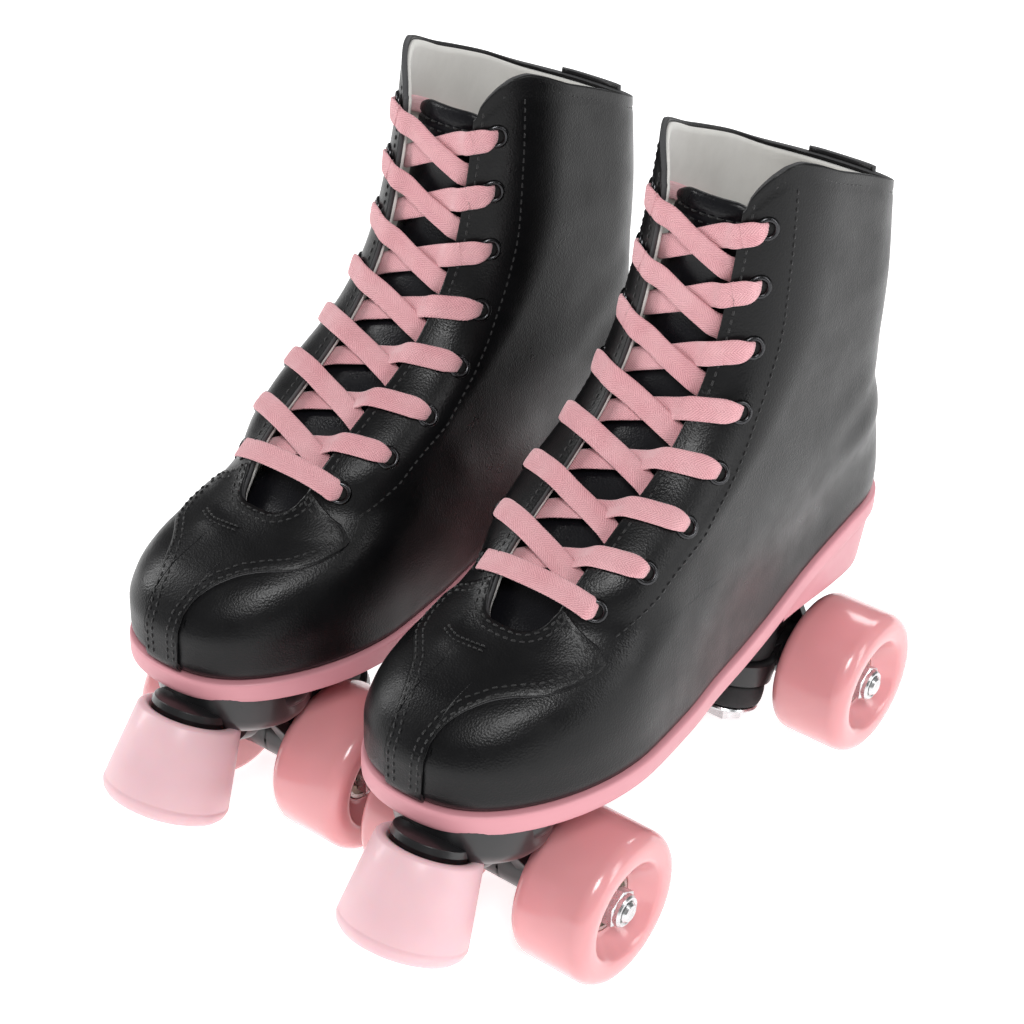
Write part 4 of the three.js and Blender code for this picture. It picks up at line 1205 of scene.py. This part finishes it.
def kingpin(build):
    top = -(RING_HALF + BOTTOM_CUSHION + 2 * GAP)
    head = top - WASHER
    build.lathe([(head, 5), (head, 12.2), (head + 0.4, 12.9), (top - 0.9, 13.1),
                 (top - 0.2, 12.7), (top, 12.1), (top, 5)], KINGPIN, PIN_UP, 0, 48, close=True)
    build.lathe([(head - 5.9, 5.8), (head - 5.5, 7.3), (head - 5.1, 8.1), (head - 0.5, 8.1),
                 (head, 7.6)], KINGPIN, PIN_UP, 0, 6)
    build.lathe([(head - 6.6, 3.2), (head - 6.2, 4.0), (head - 5.6, 4.2), (27.8, 4.2)],
                KINGPIN, PIN_UP, 0, 28)
    return build


def for_truck(build, back):
    return build.turned_about(WHEELBASE) if back else build


WHEEL_PROFILE = [(18.0, 11.3), (18.0, 24.2), (18.3, 25.5), (19.1, 26.9), (20.4, 28.1),
                 (22.2, 28.85), (24, 29.0), (44, 29.0), (45.8, 28.8), (47.5, 28.0), (48.9, 26.8),
                 (49.8, 25.2), (50.0, 23.6), (49.9, 20.4), (49.5, 19.2), (48.4, 18.3),
                 (46.5, 17.3), (43.4, 14.6), (42.0, 13.2), (41.2, 12.4), (41.0, 11.3)]


def on_axle(sign, y):
    """Origin and direction of a lathe that turns about an axle."""
    return (0, y, AXLE_Z), (sign, 0, 0)


def wheel(build, sign, y):
    profile = WHEEL_PROFILE + [(34.6, 11.3), (34.3, 9.6), (27.3, 9.6), (27.0, 11.3)]
    return build.lathe(profile, *on_axle(sign, y), 0, 96, close=True)


BEARINGS_AT, BEARING_WIDTH = (20.0, 34.0), 7.0


def bearing(build, sign, y):
    """Two shielded bearings and the spacer between them."""
    place = on_axle(sign, y)
    for near in BEARINGS_AT:
        far = near + BEARING_WIDTH
        build.lathe([(near, 9.3), (near, 10.7), (near + 0.3, 11), (far - 0.3, 11), (far, 10.7),
                     (far, 9.3)], *place, 0, 56, close=True)
        build.lathe([(near + 0.5, 6.6), (near + 0.35, 7.4), (near + 0.8, 8.2), (near + 0.6, 9.4),
                     (far - 0.6, 9.4), (far - 0.8, 8.2), (far - 0.35, 7.4), (far - 0.5, 6.6)],
                    *place, 1, 56, close=True)
        build.lathe([(near, 4.3), (near, 6.1), (near + 0.3, 6.4), (far - 0.3, 6.4), (far, 6.1),
                     (far, 4.3)], *place, 0, 40, close=True)
    near, far = BEARINGS_AT[0] + BEARING_WIDTH, BEARINGS_AT[1]
    return build.lathe([(near, 4.4), (near, 5.6), (far, 5.6), (far, 4.4)], *place, 2, 32,
                       close=True)


NUT_FLATS = 13.0


def nut(build, sign, y):
    """Lock nut: a chamfered hexagon, its collar and its nylon ring."""
    corner = NUT_FLATS / 2 / math.cos(math.pi / 6)
    place = on_axle(sign, y)
    build.lathe([(41.4, 4.3), (41.4, corner - 0.9), (41.9, corner), (46.4, corner),
                 (46.9, corner - 0.7), (46.9, 4.3)], *place, 0, 6, close=True)
    build.lathe([(46.6, 4.3), (46.6, 6.3), (48.2, 6.1), (48.9, 5.5), (49.0, 4.9), (48.6, 4.3)],
                *place, 0, 40, close=True)
    return build.lathe([(45.6, 4.1), (45.6, 5.2), (48.55, 5.0), (48.55, 4.1)],
                       *place, 1, 32, close=True)


def axle(build, y):
    rod = [(0, 3.9), (40.5, 3.9)] + thread(41, 49.6, 3.95, 1.0, 0.4) + [(50.2, 3.1)]
    for sign in (1, -1):
        build.lathe(rod, *on_axle(sign, y), 0, 32)
    return build


# ---- assembly -------------------------------------------------------------
def stand_in(piece, body, slot, *nodes):
    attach(piece, body)
    if nodes:
        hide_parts(*nodes)


def boot(prefix, side):
    body = f"{prefix}_boot"
    made = [
        (upper, "shaft", "leather", "upper"),
        (panel, "toe_panel", "leather", None),
        (back_strap, "back_strap", "leather", None),
        (stitches, "stitches", "leather", None),
        (strap_stitches, "strap_stitches", "leather", None),
        (lining, "lining_cloth", "lining", "lining"),
        (insole, "insole", "lining", None),
        (tongue, "tongue_pad", "leather", "tongue"),
        (tongue_stitches, "tongue_stitches", "leather", None),
        (eyelets, "eyelets", "hardware", None),
        (lace, "lace_braid", "lace", "lace"),
        (outsole, "outsole_rubber", "sole", "outsole"),
        (heel, "heel_block", "sole", "heel"),
        (plate, "sole_plate", "plate", "plate"),
        (plate_bolts, "plate_bolts", "hardware", None),
        (toe_stop, "stop_rubber", "stop", "toe_stop"),
    ]
    for make, name, slot, node in made:
        piece = make(side, f"{prefix}_{name}")
        stand_in(piece, body, slot, *([f"{prefix}_{node}"] if node else []))


def truck(prefix, side, end):
    back = end == "rear"
    y = WHEELBASE if back else 0.0
    base, body = f"{prefix}_{end}", f"{prefix}_{end}_truck"
    shell = put(for_truck(hanger(Build()), back), f"{base}_truck_arm", side, [PLATE_MAT])
    stand_in(crisp(bevel(shell, 0.5), 40), body, "plate", f"{base}_hanger")
    low, high = RING_HALF + GAP, RING_HALF + GAP + TOP_CUSHION
    for name, ends in (("top", (low, high)), ("bottom", (-low - BOTTOM_CUSHION, -low))):
        rubber = for_truck(cushion(Build(), *ends), back)
        piece = put(rubber, f"{base}_{name}_rubber", side, [RUBBER_MAT])
        stand_in(crisp(piece, 50), f"{prefix}_boot", "cushion", f"{base}_{name}_cushion")
    pin = put(for_truck(kingpin(Build()), back), f"{base}_kingpin_bolt", side, [STEEL_MAT])
    stand_in(crisp(pin, 30), f"{prefix}_boot", "hardware", f"{base}_kingpin")
    rod = put(axle(Build(), y), f"{base}_axle_rod", side, [STEEL_MAT])
    stand_in(crisp(rod, 50), body, "hardware", f"{base}_axle")
    for place, sign in (("outer", side), ("inner", -side)):
        name, roller = f"{base}_{place}", f"{base}_{place}_roller"
        tread = put(wheel(Build(), sign, y), f"{name}_tyre", side, [WHEEL_MAT])
        stand_in(crisp(tread, 60), roller, "wheel", f"{name}_wheel")
        races = put(bearing(Build(), sign, y), f"{name}_races", side,
                    [RACE_MAT, SHIELD_MAT, STEEL_MAT])
        stand_in(crisp(races, 45), roller, "bearing", f"{name}_bearing")
        lock = put(nut(Build(), sign, y), f"{name}_lock_nut", side, [STEEL_MAT, LINING_MAT])
        stand_in(crisp(lock, 28), body, "hardware", f"{name}_nut")


for prefix, side in SIDES.items():
    boot(prefix, side)
    truck(prefix, side, "front")
    truck(prefix, side, "rear")


# ---- stage, light and camera ----------------------------------------------
FLOOR_HALF, FLOOR_GLOW, WORLD_GLOW = 6.0, 0.72, 0.2
AREA_LIGHTS = [                  # name, place, target, size, power
    ("key", (0.9, -1.0, 1.7), (0, 0, 0.12), (0.62, 0.62), 22),
    ("left_box", (-1.5, -0.6, 0.9), (0, 0, 0.12), (0.3, 1.3), 15),
    ("back_box", (-0.3, 1.4, 1.3), (0, 0, 0.15), (1.2, 0.45), 12),
    ("right_box", (1.5, 0.3, 0.7), (0, 0, 0.12), (0.4, 1.2), 8),
]


def stage():
    mesh = bpy.data.meshes.new("floor")
    corners = [(-1, -1), (1, -1), (1, 1), (-1, 1)]
    mesh.from_pydata([(x * FLOOR_HALF, y * FLOOR_HALF, 0) for x, y in corners], [], [(0, 1, 2, 3)])
    floor = bpy.data.objects.new("floor", mesh)
    bpy.context.scene.collection.objects.link(floor)
    looks = Looks("pale_floor", (0.9, 0.9, 0.9), 0.7, Specular_IOR_Level=0.2)
    looks.set(looks.shader, "Emission Color", (1, 1, 1, 1))
    looks.set(looks.shader, "Emission Strength", FLOOR_GLOW)
    mesh.materials.append(looks.material)


def area_light(name, place, target, size, power):
    data = bpy.data.lights.new(name, "AREA")
    data.shape, data.size, data.size_y = "RECTANGLE", size[0], size[1]
    data.energy = power
    light = bpy.data.objects.new(name, data)
    light.location = place
    light.rotation_euler = (Vector(target) - Vector(place)).to_track_quat("-Z", "Y").to_euler()
    bpy.context.scene.collection.objects.link(light)


def lights():
    world = bpy.data.worlds.new("studio")
    world.use_nodes = True
    background = world.node_tree.nodes["Background"]
    background.inputs["Color"].default_value = (1, 1, 1, 1)
    background.inputs["Strength"].default_value = WORLD_GLOW
    bpy.context.scene.world = world
    for row in AREA_LIGHTS:
        area_light(*row)


# Millimetres from the left skate's front axle, and the camera's own axes.
CAMERA_AT = (358.9, -494.86, 565.2)
CAMERA_RIGHT = (0.79114, 0.61079, 0.0321)
CAMERA_UP = (-0.35228, 0.41213, 0.84027)
CAMERA_BACK = (0.49999519, -0.67608257, 0.54121822)
CAMERA_LENS = 79.87


def camera():
    data = bpy.data.cameras.new("camera")
    data.sensor_width, data.lens = 36.0, CAMERA_LENS
    data.clip_start = 0.01
    made = bpy.data.objects.new("camera", data)
    turn = Matrix((CAMERA_RIGHT, CAMERA_UP, CAMERA_BACK)).transposed().to_4x4()
    place = Vector(CAMERA_AT) + Vector((SKATE_X, ORIGIN_Y, 0))
    made.matrix_world = Matrix.Translation(place * MM) @ turn
    bpy.context.scene.collection.objects.link(made)
    bpy.context.scene.camera = made
    bpy.context.scene.view_settings.view_transform = "Standard"


stage()
lights()
camera()
